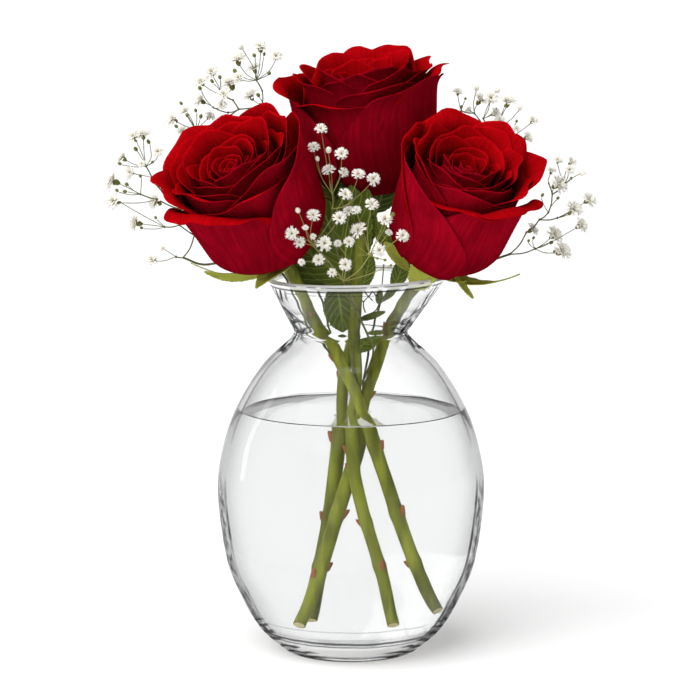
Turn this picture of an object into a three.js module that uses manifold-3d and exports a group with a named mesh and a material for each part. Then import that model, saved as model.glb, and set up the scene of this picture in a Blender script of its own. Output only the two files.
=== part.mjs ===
// Three open red roses with baby's breath and a leafy shoot, in a clear glass vase of water.
// Units are millimetres and +Z is up. The origin is the centre of the vase's flat base, and
// -Y is the front. Every piece stands where it stands in the bunch, so nothing is placed twice.
import * as THREE from 'three';
import { mergeVertices } from 'three/addons/utils/BufferGeometryUtils.js';
import Module from 'manifold-3d';

const wasm = await Module();
wasm.setup();

// ------------------------------------------------------------------ driving dimensions
const GAP = 0.3;                 // clearance between pieces that touch
const GOLDEN = 137.508;          // degrees from one petal to the next

// The blown vase. Its outline is a smooth curve through [radius, height] points.
const VASE = {
  wall: 3.0,
  floor: 8.0,                    // top of the thick glass floor
  heel: { rise: 4, run: 9 },     // the bevel between the floor and the inside of the wall
  segments: 24,
  steps: 10,                     // parts that the belly's curve is split into
  belly: [[36.3, 0], [50.1, 12.2], [60.3, 29.3], [69.0, 52.0], [73.5, 89.0], [70.3, 114.0],
    [62.5, 136.0], [48.6, 158.4], [34.6, 172.0], [30.6, 176.5]],
  flare: [[34.6, 183.0], [41.8, 194.4], [49.4, 206.6]],
  lip: [49.9, 208.2],            // crest of the rounded rim
};
const WATER_LEVEL = 133;
const CLEAR = 0.35;              // how opaque glass and water are drawn

// The three blooms: where each is rooted, which way it faces (x and y for each unit of
// height), its turn about its own axis in radians, its scale, and a seed for its petals.
const BLOOMS = {
  left: { root: [-43.5, -8, 224.5], lean: [-0.448, -0.661], spin: 0.3, scale: 0.96, seed: 0 },
  right: { root: [46, -8, 221], lean: [0.324, -0.616], spin: 0, scale: 0.96, seed: 4 },
  back: { root: [11.5, 38, 254], lean: [-0.095, -0.224], spin: 0, scale: 0.99, seed: 2 },
};
const PETALS = 34;               // petals counted from the rolled centre outwards
// The petals that are made, outermost first, and the rows (as shares of a petal's length,
// closer at its lip) and columns (from side to side) of points that shape each.
const OUTER_PETALS = {
  made: [33, 32, 31, 30, 29],
  rows: [0, 0.3, 0.55, 0.74, 0.88, 1],
  sides: [-1, -0.55, 0, 0.55, 1],
};
const INNER_PETALS = {
  made: [24, 23, 22],
  rows: [0, 0.4, 0.8, 1],
  sides: [-1, -0.35, 0.35, 1],
};
const PETAL_THICKNESS = 0.9;
const HEART = [[0, 0], [8, 0], [8, 5], [6.5, 40], [0, 57]];  // the rolled centre's outline

// One petal, from the innermost (open = 0) to the outermost (open = 1).
const PETAL = {
  open: [0, 0.15, 0.35, 0.55, 0.75, 0.9, 1],
  length: [60, 62, 67, 74, 82, 88, 90],
  rootRadius: [1, 2, 3, 4, 5, 6, 6],
  halfWidth: [11, 16, 24, 31, 36, 38, 38],
  tuck: [1.2, 1.8, 2.6, 3.0, 2.6, 2.0, 2.0],       // one side lies inside its neighbour
  // its slope above level, in degrees: at the root, the belly, below the lip, and the lip
  slopeRoot: [86, 80, 66, 48, 24, 8, 0],
  slopeBelly: [89, 88, 84, 82, 80, 80, 80],
  slopeNeck: [92, 94, 92, 86, 84, 82, 78],
  slopeLip: [88, 84, 66, 40, 14, -30, -70],
  // shares of its length where the slope has reached the belly's, the neck's, and the lip roll
  belly: 0.42,
  neck: 0.75,
  fold: 0.8,
  steps: 119,                    // its slope is summed over this many steps
};

// The swelling under a bloom, as [radius, height] below the bloom's root.
const RECEPTACLE = [[0, -12], [4.6, -12], [7.6, -6], [7.2, -1 - GAP], [0, -1 - GAP]];
const SEPAL = { rows: 4, thickness: 0.8, root: 4, sag: 3 };
const THORN = { radius: 1.5, length: 4.6, sunk: 0.8 };

// Each rose stem from under its bloom down to its cut end on the vase's floor or wall.
// Sepals are [direction and bend in degrees, length, lift, width], in the bloom's own turn.
const STEM_RADIUS = { neck: 4.3, middle: 3.1, end: 2.8 };
const STEM_MESH = { sides: 7, rings: 13 };
const HOLE_PAST = 3;             // how far a stem's hole in the water runs past its cut end
const STEMS = {
  left: {
    path: [[-39.5, -2.5, 215.5], [-34, 0.5, 207], [-28, 0, 199], [-19, -4, 184.5], [-11.5, -7.5, 172],
      [-5, -9, 159], [1, -10, 147], [6, -9.5, 134], [8.5, -8.5, 120], [12, -7, 107.5],
      [16.2, -6, 93.4], [21.9, -5.5, 77.4], [27.4, -5.5, 59.8], [32.9, -6, 43.9],
      [38.3, -7.5, 30], [44.35, -9, 14.6]],
    thorns: [[0.28, 200], [0.62, 30], [0.74, 200], [0.88, 20]],
    sepals: [[215, -26, 41, 30, 6], [262, 30, 24, -16, 8], [330, 10, 22, -4, 8], [60, 0, 26, -6, 7],
      [130, 0, 30, 4, 7]],
  },
  right: {
    path: [[43, -2, 211.5], [36, 0, 202], [25, 2, 186], [20.5, 4, 176], [16.5, 6, 164],
      [11.5, 6.5, 150], [7.5, 7, 137], [5.6, 6.7, 124], [3.4, 6, 109], [-0.4, 3.5, 92],
      [-6.2, -0.5, 75.5], [-10.8, -3, 63.4], [-16, -6, 49.3], [-21, -8.5, 31], [-26.6, -10.9, 9.4]],
    thorns: [[0.3, 20], [0.72, 40], [0.86, 200]],
    sepals: [[318, 30, 43, 15, 6.5], [232, -14, 20, -3, 12], [300, 22, 21, 3.5, 5], [30, 0, 28, 2, 7],
      [110, 0, 26, -4, 7]],
  },
  back: {
    path: [[12.3, 41.5, 244], [9.5, 41, 234], [5, 33, 220], [3.5, 24, 205], [3, 17, 191], [2, 11, 177],
      [-0.4, 7.5, 165], [-4, 5.5, 152], [-5, 4.5, 135], [-4.7, 5.5, 115], [-7.6, 8, 92.5],
      [-10.3, 10, 76.6], [-12.2, 11, 61.6], [-13.4, 11.8, 47], [-14.6, 12, 30], [-15.6, 12, 8.5]],
    thorns: [[0.24, 90], [0.6, 210], [0.8, 20]],
    sepals: [[250, 0, 28, -8, 8], [325, 0, 26, -6, 7], [40, 0, 30, 2, 7], [110, 0, 28, 0, 7],
      [180, 0, 26, -6, 8]],
  },
};

const LEAF = { rows: 7, notch: 0.78, fold: 0.3, thickness: 0.8 };
const SHOOT_MESH = { sides: 5, rings: 13 };

// The leafy shoot. Leaves are [root, tip, width, which way the face looks, droop].
const SHOOT = {
  path: [[1.5, -11, 232], [-1, -9, 216], [0, -5, 200], [2, -3, 184], [3.2, -2.2, 168], [3.6, -2.2, 154],
    [2.4, -2, 142], [0, -1.4, 129], [0, -1.4, 116], [0.9, -3, 104], [2.1, -5, 90.5],
    [5.5, -7, 76.3], [10.6, -9, 61.1], [14.1, -10.5, 49], [17.2, -12.5, 30], [20.4, -14.2, 8.8]],
  radii: [1.0, 1.2, 1.3, 1.4, 1.5, 1.6, 1.8, 2.2, 2.6, 2.7, 2.7, 2.7, 2.7, 2.7, 2.7, 2.7],
  thorns: [[0.66, 190], [0.78, 200], [0.86, 10]],
  leaves: [
    [[1.2, -3.6, 172], [-17, -0.5, 205], 17, [0.2, -1, 0.1], 2],
    [[3, -2.8, 165], [18, -8, 180], 11, [0.1, -1, 0.4], 2],
    [[-0.5, -7, 208], [-22, -22, 231], 20, [-0.2, -1, 0.5], 3],
    [[0, -9, 217], [-9, -18, 247], 17, [-0.1, -1, 0.2], 3],
    [[1.4, -11, 229], [14, -14, 258], 15, [0.2, -1, 0.3], 2],
    [[0, -6, 205], [29, -16, 222], 21, [0.3, -1, 0.5], 3],
    [[1.5, -3.5, 190], [34, 14, 214], 18, [0.3, -0.6, 0.7], 3],
    [[-0.5, -7.5, 211], [-16, 22, 238], 18, [0.1, -0.5, 0.9], 3],
  ],
};

// Gypsophila. A spray's stem runs up to its first joint. A joint is [x, y, z, parent joint].
// Florets are [x, z]. Their y is depth.y + depth.out * |x|, give or take depth.spread.
const FLORET = { radius: 3.6, notch: 1.8, dome: 0.9, petals: 5 };
const KNOT_RADIUS = 1.4;
const TWIG = { stem: 0.95, branch: 0.7, stalk: 0.55 };
const SPRAYS = {
  left_high: {
    depth: { y: 28, out: 0, spread: 11 }, facing: [0, -1, 0.35],
    stem: [[-4.5, 14, 118], [-4.5, 14, 135], [-5, 14.5, 150], [-9, 18, 164], [-13, 22.8, 176], [-18, 24, 196],
      [-30, 27, 225], [-42, 29, 255], [-48, 29, 284]],
    joints: [[-49, 29, 298], [-50, 34, 309, 0], [-54, 25, 318, 1], [-68, 34, 306, 0], [-81, 23, 301, 3]],
    florets: [[-49, 334], [-40, 328], [-64, 326], [-77, 320], [-84, 315], [-67, 313], [-57, 307], [-85, 304],
      [-72, 302], [-93, 298], [-99, 294], [-79, 295]],
  },
  left_low: {
    depth: { y: 6, out: 0, spread: 9 }, facing: [-0.2, -1, 0.35],
    stem: [[-5, 11, 124], [-5, 11.3, 140], [-7, 12, 154], [-15, 10.5, 166], [-23.8, 9.2, 176], [-31, 14, 191],
      [-36.2, 15, 205], [-46.5, 15.5, 213.5], [-60, 14, 216], [-83, 8, 215]],
    joints: [[-96, 6, 219], [-105, 10, 240, 0], [-115, 3, 252, 1], [-112, 9, 268, 2]],
    florets: [[-116, 283], [-105, 276], [-127, 272], [-121, 264], [-132, 259], [-131, 249], [-108, 249],
      [-119, 236], [-109, 218]],
  },
  right_high: {
    depth: { y: 26, out: 0, spread: 8 }, facing: [0, -1, 0.35],
    stem: [[6, 13, 120], [6.5, 13.5, 135], [7, 14.5, 148], [10, 18, 162], [13, 22.8, 176], [20, 25, 196],
      [38, 27, 220], [56, 28, 246], [66, 27, 268]],
    joints: [[71, 26, 281], [74, 31, 293, 0], [88, 21, 289, 0]],
    florets: [[60, 308], [74, 305], [87, 304], [80, 296], [82, 290], [101, 292], [98, 283]],
  },
  right_low: {
    depth: { y: 5, out: 0, spread: 8 }, facing: [0.2, -1, 0.35],
    stem: [[9, 12, 122], [9.5, 12.5, 138], [12, 13.5, 152], [19, 13, 166], [23.9, 9.4, 176], [30, 13, 190],
      [36.6, 14, 203], [50, 12.5, 214.5], [70, 6, 215]],
    joints: [[86, 5, 219], [101, 9, 223, 0], [96, 2, 236, 0], [103, 6, 238, 2], [114, 11, 241, 3],
      [110, 1, 253, 3]],
    florets: [[121, 271], [118, 265], [110, 267], [113, 258], [122, 246], [130, 251], [126, 237], [99, 230],
      [112, 230], [115, 222]],
  },
  centre_high: {
    depth: { y: -31, out: 0, spread: 3 }, facing: [0, -1, 0.3],
    stem: [[6.5, -1.5, 122], [5.8, -3, 136], [3.5, -6.2, 150], [1.5, -7.5, 160], [2, -9, 174],
      [4, -14, 190], [2, -20, 207], [-3, -25, 232]],
    joints: [[-6, -27, 247], [-10, -29, 257, 0], [-1, -29, 257, 0]],
    florets: [[-16, 290], [-20, 280], [-5, 277], [-12, 268], [-4, 267], [4, 266], [12, 263]],
  },
  centre_low: {
    depth: { y: -42, out: -0.6, spread: 3 }, facing: [0, -1, 0.35],
    stem: [[1.5, 4.5, 124], [3, 3.8, 140], [9, 0, 155], [12, -12, 166], [10, -23.9, 176], [4, -29, 190],
      [-2, -33, 202]],
    joints: [[-3, -36, 213], [-11, -39, 225, 0], [-22, -47, 228, 1], [1, -40, 239, 0], [14, -44, 232, 0]],
    florets: [[-3, 256], [-21, 246], [-7, 245], [2, 248], [11, 251], [18, 244], [-31, 237], [-27, 231],
      [4, 237], [27, 237], [-14, 232], [-1, 231], [14, 226], [-18, 222], [-3, 221], [-10, 216], [22, 221]],
  },
  rear: {
    depth: { y: 82, out: -0.35, spread: 7 }, facing: [0, 1, 0.35],
    stem: [[1, 13, 118], [1, 13, 130], [1, 14, 145], [1, 20, 160], [1, 26.1, 176], [2, 33, 196],
      [2, 48, 218], [4, 62, 240]],
    joints: [[5, 68, 254], [-10, 70, 266, 0], [20, 70, 268, 0], [6, 74, 280, 0]],
    florets: [[-28, 276], [-20, 290], [-8, 284], [2, 300], [12, 292], [24, 288], [34, 280], [30, 264],
      [-16, 260], [6, 270]],
  },
};

// ------------------------------------------------------------------ helpers
const radians = (degrees) => degrees * Math.PI / 180;
const clamp = (x, low, high) => Math.min(high, Math.max(low, x));
const vector = (p) => new THREE.Vector3(...p);

function smooth(t) {
  const x = clamp(t, 0, 1);
  return x * x * (3 - 2 * x);
}

// The value at x on straight lines between the knots.
function along(x, knots, values) {
  let i = 0;
  while (i < knots.length - 2 && x > knots[i + 1]) i += 1;
  const t = clamp((x - knots[i]) / (knots[i + 1] - knots[i]), 0, 1);
  return values[i] + (values[i + 1] - values[i]) * t;
}

// A solid from a closed list of positions and triangles.
function solidOf(positions, triangles) {
  const make = (list) => new wasm.Manifold(new wasm.Mesh({
    numProp: 3,
    vertProperties: Float32Array.from(positions),
    triVerts: Uint32Array.from(list),
  }));
  const body = make(triangles);
  if (body.volume() > 0) return body;
  const turned = [];
  for (let i = 0; i < triangles.length; i += 3) turned.push(triangles[i], triangles[i + 2], triangles[i + 1]);
  return make(turned);
}

// A solid from a closed geometry: equal corners are merged and empty triangles dropped.
function solidOfGeometry(geometry) {
  geometry.deleteAttribute('normal');
  geometry.deleteAttribute('uv');
  const merged = mergeVertices(geometry, 1e-4);
  const index = merged.index.array;
  const triangles = [];
  for (let i = 0; i < index.length; i += 3) {
    const [a, b, c] = [index[i], index[i + 1], index[i + 2]];
    if (a !== b && b !== c && c !== a) triangles.push(a, b, c);
  }
  return solidOf(merged.attributes.position.array, triangles);
}

// The joined solid, without loose scraps.
function fuse(solids) {
  const pieces = wasm.Manifold.union(solids).decompose();
  return pieces.reduce((best, piece) => (piece.volume() > best.volume() ? piece : best));
}

function meshOf(solid, name, colour, roughness) {
  const { vertProperties, triVerts } = solid.getMesh();
  const geometry = new THREE.BufferGeometry();
  geometry.setAttribute('position', new THREE.BufferAttribute(vertProperties, 3));
  geometry.setIndex(new THREE.BufferAttribute(triVerts, 1));
  geometry.computeVertexNormals();
  const material = new THREE.MeshStandardMaterial({ color: colour, roughness, metalness: 0 });
  if (name === 'vase' || name === 'water') {
    material.transparent = true;
    material.opacity = CLEAR;
  }
  const mesh = new THREE.Mesh(geometry, material);
  mesh.name = name;
  return mesh;
}

// A solid turned about the Z axis from [radius, height] points that start and end on it.
function turned(profile, segments) {
  const geometry = new THREE.LatheGeometry(profile.map((p) => new THREE.Vector2(p[0], p[1])), segments);
  geometry.rotateX(Math.PI / 2);
  return solidOfGeometry(geometry);
}

// A sheet of points (rows of equal length) given a thickness, closed round its edge.
function shell(rows, thickness) {
  const n = rows.length;
  const m = rows[0].length;
  const at = (i, j) => rows[clamp(i, 0, n - 1)][clamp(j, 0, m - 1)];
  const positions = [[], []];
  for (let i = 0; i < n; i += 1) {
    for (let j = 0; j < m; j += 1) {
      const down = at(i + 1, j).clone().sub(at(i - 1, j));
      const across = at(i, j + 1).clone().sub(at(i, j - 1));
      const half = down.cross(across).normalize().multiplyScalar(thickness / 2);
      positions[0].push(...at(i, j).clone().add(half));
      positions[1].push(...at(i, j).clone().sub(half));
    }
  }
  const triangles = [];
  const under = n * m;
  const quad = (a, b, c, d) => triangles.push(a, b, c, a, c, d);
  for (let i = 0; i < n - 1; i += 1) {
    for (let j = 0; j < m - 1; j += 1) {
      const [a, b, c, d] = [i * m + j, i * m + j + 1, (i + 1) * m + j + 1, (i + 1) * m + j];
      triangles.push(a, c, b, a, d, c);
      triangles.push(under + a, under + b, under + c, under + a, under + c, under + d);
    }
  }
  for (let i = 0; i < n - 1; i += 1) {
    quad(i * m, under + i * m, under + (i + 1) * m, (i + 1) * m);
    quad((i + 1) * m + m - 1, under + (i + 1) * m + m - 1, under + i * m + m - 1, i * m + m - 1);
  }
  for (let j = 0; j < m - 1; j += 1) {
    quad(j + 1, under + j + 1, under + j, j);
    quad((n - 1) * m + j, under + (n - 1) * m + j, under + (n - 1) * m + j + 1, (n - 1) * m + j + 1);
  }
  return solidOf(positions.flat(), triangles);
}

// A closed round stick along a path, with a radius at each share of its length. Its ends
// may go past the path's own ends.
function stick(path, radiusAt, sides, rings, past = 0) {
  const curve = new THREE.CatmullRomCurve3(path.map(vector), false, 'catmullrom', 0.5);
  const frames = curve.computeFrenetFrames(rings, false);
  const positions = [];
  const triangles = [];
  for (let i = 0; i <= rings; i += 1) {
    const centre = curve.getPointAt(i / rings);
    if (i === 0) centre.addScaledVector(frames.tangents[i], -past);
    if (i === rings) centre.addScaledVector(frames.tangents[i], past);
    const radius = radiusAt(i / rings);
    for (let k = 0; k < sides; k += 1) {
      const turn = 2 * Math.PI * k / sides;
      const p = centre.clone()
        .addScaledVector(frames.normals[i], radius * Math.cos(turn))
        .addScaledVector(frames.binormals[i], radius * Math.sin(turn));
      positions.push(...p);
    }
  }
  for (let i = 0; i < rings; i += 1) {
    for (let k = 0; k < sides; k += 1) {
      const next = (k + 1) % sides;
      const [a, b] = [i * sides + k, i * sides + next];
      triangles.push(a, b, b + sides, a, b + sides, a + sides);
    }
  }
  for (let k = 1; k < sides - 1; k += 1) {
    triangles.push(0, k + 1, k);
    triangles.push(rings * sides, rings * sides + k, rings * sides + k + 1);
  }
  return { curve, frames, rings, solid: solidOf(positions, triangles) };
}

// ------------------------------------------------------------------ vase and water
// Points on the outside of the glass from the base to the rim.
function vaseOutline() {
  const belly = new THREE.SplineCurve(VASE.belly.map((p) => new THREE.Vector2(...p))).getPoints(VASE.steps);
  return [...belly.map((p) => [p.x, p.y]), ...VASE.flare];
}

// The outline moved inwards by a distance, from just above the given floor to the rim.
function insideOutline(distance, floor) {
  const outline = vaseOutline();
  const moved = outline.map((p, i) => {
    const a = outline[Math.max(i - 1, 0)];
    const b = outline[Math.min(i + 1, outline.length - 1)];
    const run = Math.hypot(b[0] - a[0], b[1] - a[1]);
    return [p[0] - distance * (b[1] - a[1]) / run, p[1] + distance * (b[0] - a[0]) / run];
  });
  const wall = moved.filter((p) => p[1] > floor + VASE.heel.rise);
  return [[0, floor], [wall[0][0] - VASE.heel.run, floor], ...wall];
}

function makeVase() {
  const inside = insideOutline(VASE.wall, VASE.floor).reverse();
  const profile = [[0, 0], ...vaseOutline(), VASE.lip, ...inside];
  return turned(profile, VASE.segments);
}

function makeWater(stemHoles) {
  const clear = insideOutline(VASE.wall + GAP, VASE.floor + GAP);
  const under = clear.filter((p) => p[1] < WATER_LEVEL - 3);
  const above = clear[under.length];
  const last = under[under.length - 1];
  const share = (WATER_LEVEL - last[1]) / (above[1] - last[1]);
  const edge = [last[0] + (above[0] - last[0]) * share, WATER_LEVEL];
  const body = turned([...under, edge, [0, WATER_LEVEL]], VASE.segments);
  return body.subtract(wasm.Manifold.union(stemHoles));
}

// ------------------------------------------------------------------ roses
// The axes of a bloom: its own x, y and z, with z along the way that it faces.
function bloomFrame({ root, lean, spin, scale }) {
  const z = new THREE.Vector3(lean[0], lean[1], 1).normalize();
  const x = new THREE.Vector3(0, 1, 0).cross(z).normalize();
  const y = z.clone().cross(x);
  const turn = new THREE.Matrix4().makeRotationZ(spin);
  return new THREE.Matrix4().makeBasis(x, y, z).setPosition(...root)
    .multiply(turn).scale(new THREE.Vector3(scale, scale, scale));
}

// The points of one petal. Its slope runs from root to lip along its length, it wraps round
// the bloom's axis by its width over its radius, and its edge waves and rolls outwards.
function petalSheet(open, turn, seed, rows, sides) {
  const pick = (values) => along(open, PETAL.open, values);
  const vary = (k) => Math.sin(seed * 12.9898 + k * 78.233);
  const length = pick(PETAL.length) * (1 + 0.03 * vary(1));
  const slopes = [PETAL.slopeRoot, PETAL.slopeBelly, PETAL.slopeNeck, PETAL.slopeLip]
    .map((values) => radians(pick(values)));
  const { steps } = PETAL;
  // radius and height at each step along one line of the petal
  const line = (side) => {
    const fold = PETAL.fold - 0.16 * open * Math.abs(side) ** 1.2 + 0.02 * vary(2);
    const curl = (slopes[3] - slopes[2]) * (0.75 + 0.55 * Math.abs(side) * open);
    const points = [];
    let [r, z] = [pick(PETAL.rootRadius), 0];
    for (let i = 0; i <= steps; i += 1) {
      const q = i / steps;
      const slope = slopes[0] + (slopes[1] - slopes[0]) * smooth(q / PETAL.belly)
        + (slopes[2] - slopes[1]) * smooth((q - PETAL.belly) / (PETAL.neck - PETAL.belly))
        + curl * smooth((q - fold) / (1 - fold) * 0.9);
      if (i > 0) {
        r += Math.cos(slope) * length / steps;
        z += Math.sin(slope) * length / steps;
      }
      points.push([r, z]);
    }
    return points;
  };
  const middle = line(0);
  const sheet = rows.map(() => []);
  sides.forEach((side) => {
    const reach = 1 - (0.13 + 0.07 * open) * Math.abs(side) ** 2.2 - 0.1 * Math.abs(side) ** 6;
    const points = line(side);
    rows.forEach((s, i) => {
      const at = s * reach * steps;
      const k = Math.min(Math.floor(at), steps - 1);
      let r = points[k][0] + (points[k + 1][0] - points[k][0]) * (at - k);
      let z = points[k][1] + (points[k + 1][1] - points[k][1]) * (at - k);
      const shape = 0.16 + 0.84 * Math.sin(Math.PI * s ** 0.85 * 0.62);
      const wrap = Math.min(pick(PETAL.halfWidth) * shape
        / Math.max(middle[Math.floor(s * steps)][0], 2.2), 2.9);
      const angle = turn + side * wrap + 0.1 * vary(3) * s;
      r += pick(PETAL.tuck) * side * smooth(s / 0.5);
      r *= 1 + 0.1 * open * (1 / Math.cos(clamp(side * wrap, -1.1, 1.1) * 0.5) - 1);
      const wave = smooth((s - 0.55) / 0.45);
      r += wave * (0.3 + 1.5 * open) * 0.8 * Math.sin(side * 4.2 + vary(4) * 3 + seed);
      z += wave * (0.3 + 1.8 * open) * 0.8 * Math.sin(side * 3.1 + vary(5) * 3 + seed * 2);
      sheet[i].push(new THREE.Vector3(r * Math.cos(angle), r * Math.sin(angle), z));
    });
  });
  return sheet;
}

function makeBloom(bloom) {
  const frame = bloomFrame(bloom);
  const petals = [OUTER_PETALS, INNER_PETALS].flatMap(({ made, rows, sides }) => made.map((i) => {
    const open = (i / (PETALS - 1)) ** 0.85;
    const sheet = petalSheet(open, radians(i * GOLDEN) + bloom.seed, bloom.seed + i * 1.7, rows, sides);
    return shell(sheet.map((row) => row.map((p) => p.applyMatrix4(frame))), PETAL_THICKNESS);
  }));
  return fuse([turned(HEART, 7).transform(frame.elements), ...petals]);
}

// A narrow green blade from the receptacle: [direction, bend, length, lift, width].
function sepal([direction, bend, length, lift, width], frame) {
  const sheet = [];
  for (let i = 0; i < SEPAL.rows; i += 1) {
    const s = i / (SEPAL.rows - 1);
    const angle = radians(direction + bend * s);
    const r = SEPAL.root + length * s;
    const z = -SEPAL.root - SEPAL.sag * Math.sin(Math.PI * s) + lift * s * s;
    const half = (width * (1 - s) ** 0.7 + 0.9) / 2;
    const across = new THREE.Vector3(-Math.sin(angle), Math.cos(angle), 0.25);
    const middle = new THREE.Vector3(r * Math.cos(angle), r * Math.sin(angle), z);
    sheet.push([-half, half].map((d) => middle.clone().addScaledVector(across, d).applyMatrix4(frame)));
  }
  return shell(sheet, SEPAL.thickness);
}

// A flat-sided thorn or bud scar on a stick, pointing up and out.
function thorn(base, [share, direction], radius, grow) {
  const i = Math.round(share * base.rings);
  const outwards = base.frames.normals[i].clone().multiplyScalar(Math.cos(radians(direction)))
    .addScaledVector(base.frames.binormals[i], Math.sin(radians(direction)));
  const up = base.frames.tangents[i].clone().negate();
  const tip = outwards.clone().multiplyScalar(0.85).addScaledVector(up, 0.5).normalize();
  const cone = new THREE.ConeGeometry(THORN.radius + 1.5 * grow, THORN.length + 3 * grow, 4, 1);
  cone.applyQuaternion(new THREE.Quaternion().setFromUnitVectors(new THREE.Vector3(0, 1, 0), tip));
  cone.translate(...base.curve.getPointAt(i / base.rings)
    .addScaledVector(outwards, radius - THORN.sunk));
  return solidOfGeometry(cone);
}

// A rose stem with its receptacle, sepals and thorns. With grow, the hole that it needs.
function roseStem(side, grow = 0) {
  const bloom = BLOOMS[side];
  const { path, thorns, sepals } = STEMS[side];
  const frame = bloomFrame({ ...bloom, scale: 1 });
  const top = new THREE.Vector3(0, 0, -5).applyMatrix4(frame).toArray();
  const radiusAt = (t) => grow + along(t, [0, 0.07, 0.14, 0.7, 1],
    [STEM_RADIUS.neck, STEM_RADIUS.neck, STEM_RADIUS.middle + 0.3, STEM_RADIUS.middle, STEM_RADIUS.end]);
  const base = stick([top, ...path], radiusAt, STEM_MESH.sides, STEM_MESH.rings,
    grow > 0 ? HOLE_PAST : 0);
  const solids = [base.solid, ...thorns.map((t) => thorn(base, t, radiusAt(t[0]), grow))];
  if (grow === 0) {
    const receptacle = turned(RECEPTACLE, STEM_MESH.sides + 1);
    solids.push(receptacle.transform(frame.elements), ...sepals.map((s) => sepal(s, frame)));
  }
  return fuse(solids);
}

// ------------------------------------------------------------------ leafy shoot
// A saw-edged leaf, folded a little along its rib: [root, tip, width, facing, droop].
function leaf([root, tip, width, facing, droop]) {
  const rib = vector(tip).sub(vector(root));
  const across = rib.clone().cross(vector(facing)).normalize();
  const face = across.clone().cross(rib).normalize();
  const sheet = [];
  for (let i = 0; i < LEAF.rows; i += 1) {
    const s = i / (LEAF.rows - 1);
    const tooth = i % 2 ? 1 : LEAF.notch;
    const half = 0.6 + width / 2 * Math.sin(Math.PI * s ** 0.8) ** 0.8 * tooth;
    const middle = vector(root).addScaledVector(rib, s).addScaledVector(face, droop * Math.sin(Math.PI * s));
    sheet.push([-1, 0, 1].map((d) => middle.clone().addScaledVector(across, d * half)
      .addScaledVector(face, Math.abs(d) * half * LEAF.fold)));
  }
  return shell(sheet, LEAF.thickness);
}

function leafShoot(grow = 0) {
  const knots = SHOOT.radii.map((_, i) => i / (SHOOT.radii.length - 1));
  const radiusAt = (t) => grow + along(t, knots, SHOOT.radii);
  const base = stick(SHOOT.path, radiusAt, SHOOT_MESH.sides, SHOOT_MESH.rings,
    grow > 0 ? HOLE_PAST : 0);
  const solids = [base.solid, ...SHOOT.thorns.map((t) => thorn(base, t, radiusAt(t[0]), grow))];
  if (grow === 0) solids.push(...SHOOT.leaves.map(leaf));
  return fuse(solids);
}

// ------------------------------------------------------------------ gypsophila
// A ring of points round a centre, in the plane across a direction.
function ring(centre, direction, radii) {
  const turn = new THREE.Quaternion().setFromUnitVectors(new THREE.Vector3(0, 0, 1), direction);
  return radii.map((r, k) => new THREE.Vector3(r, 0, 0)
    .applyAxisAngle(new THREE.Vector3(0, 0, 1), 2 * Math.PI * k / radii.length)
    .applyQuaternion(turn).add(centre));
}

// The triangles between two closed rings, the second with a multiple of the first's points.
function band(first, firstCount, second, secondCount) {
  const triangles = [];
  const share = secondCount / firstCount;
  for (let k = 0; k < secondCount; k += 1) {
    const near = Math.floor(k / share);
    triangles.push(first + near, second + (k + 1) % secondCount, second + k);
    if ((k + 1) % share === 0) {
      triangles.push(first + near, first + (near + 1) % firstCount, second + (k + 1) % secondCount);
    }
  }
  return triangles;
}

// A floret on its stalk, which is pointed at its foot: a low star, thick in the middle and
// sharp at its rim.
function floret(foot, centre, facing) {
  const corners = FLORET.petals * 2;
  const under = ring(centre.clone().addScaledVector(facing, -FLORET.dome), facing,
    Array(FLORET.petals).fill(TWIG.stalk));
  const star = ring(centre, facing,
    Array.from({ length: corners }, (_, k) => (k % 2 ? FLORET.notch : FLORET.radius)));
  const points = [...under, ...star, centre.clone().addScaledVector(facing, FLORET.dome), foot];
  const triangles = band(0, FLORET.petals, FLORET.petals, corners);
  const [top, bottom] = [points.length - 2, points.length - 1];
  for (let k = 0; k < corners; k += 1) {
    triangles.push(top, FLORET.petals + k, FLORET.petals + (k + 1) % corners);
  }
  for (let k = 0; k < FLORET.petals; k += 1) triangles.push(bottom, (k + 1) % FLORET.petals, k);
  return solidOf(points.flatMap((p) => [...p]), triangles);
}

// The small knot where stalks branch.
function knot(centre) {
  const geometry = new THREE.OctahedronGeometry(KNOT_RADIUS, 0);
  geometry.translate(...centre);
  return solidOfGeometry(geometry);
}

// A spray's stem up to its first joint. With grow, the hole that it needs: the flat sides of
// a three-sided stick move out by half of what its radius grows.
function sprayStem({ stem, joints }, grow = 0) {
  const path = [...stem, joints[0].slice(0, 3)];
  const radius = TWIG.stem + 2 * grow;
  return stick(path, () => radius, 3, stem.length + 1, grow > 0 ? HOLE_PAST : 0).solid;
}

function makeSpray(spray) {
  const { depth, facing, joints, florets } = spray;
  const points = joints.map((j) => new THREE.Vector3(j[0], j[1], j[2]));
  const solids = [sprayStem(spray)];
  joints.forEach((joint, i) => {
    solids.push(knot(points[i]));
    if (i > 0) solids.push(stick([points[joint[3]], points[i]], () => TWIG.branch, 3, 1).solid);
  });
  florets.forEach(([x, z], i) => {
    const y = depth.y + depth.out * Math.abs(x) + depth.spread * Math.sin(i * 2.4);
    const centre = new THREE.Vector3(x, y, z);
    // a stalk grows from the nearest joint, and rather from one below its floret
    const far = (p) => p.distanceTo(centre) + Math.max(0, p.z - z + 2) * 3;
    const joint = points.reduce((best, p) => (far(p) < far(best) ? p : best));
    const look = vector(facing).normalize().multiplyScalar(1.4).add(centre.clone().sub(joint).normalize())
      .add(new THREE.Vector3(0.5 * Math.sin(i * 1.9), 0, 0.5 * Math.sin(i * 2.7))).normalize();
    solids.push(floret(joint, centre, look));
  });
  return fuse(solids);
}

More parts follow.
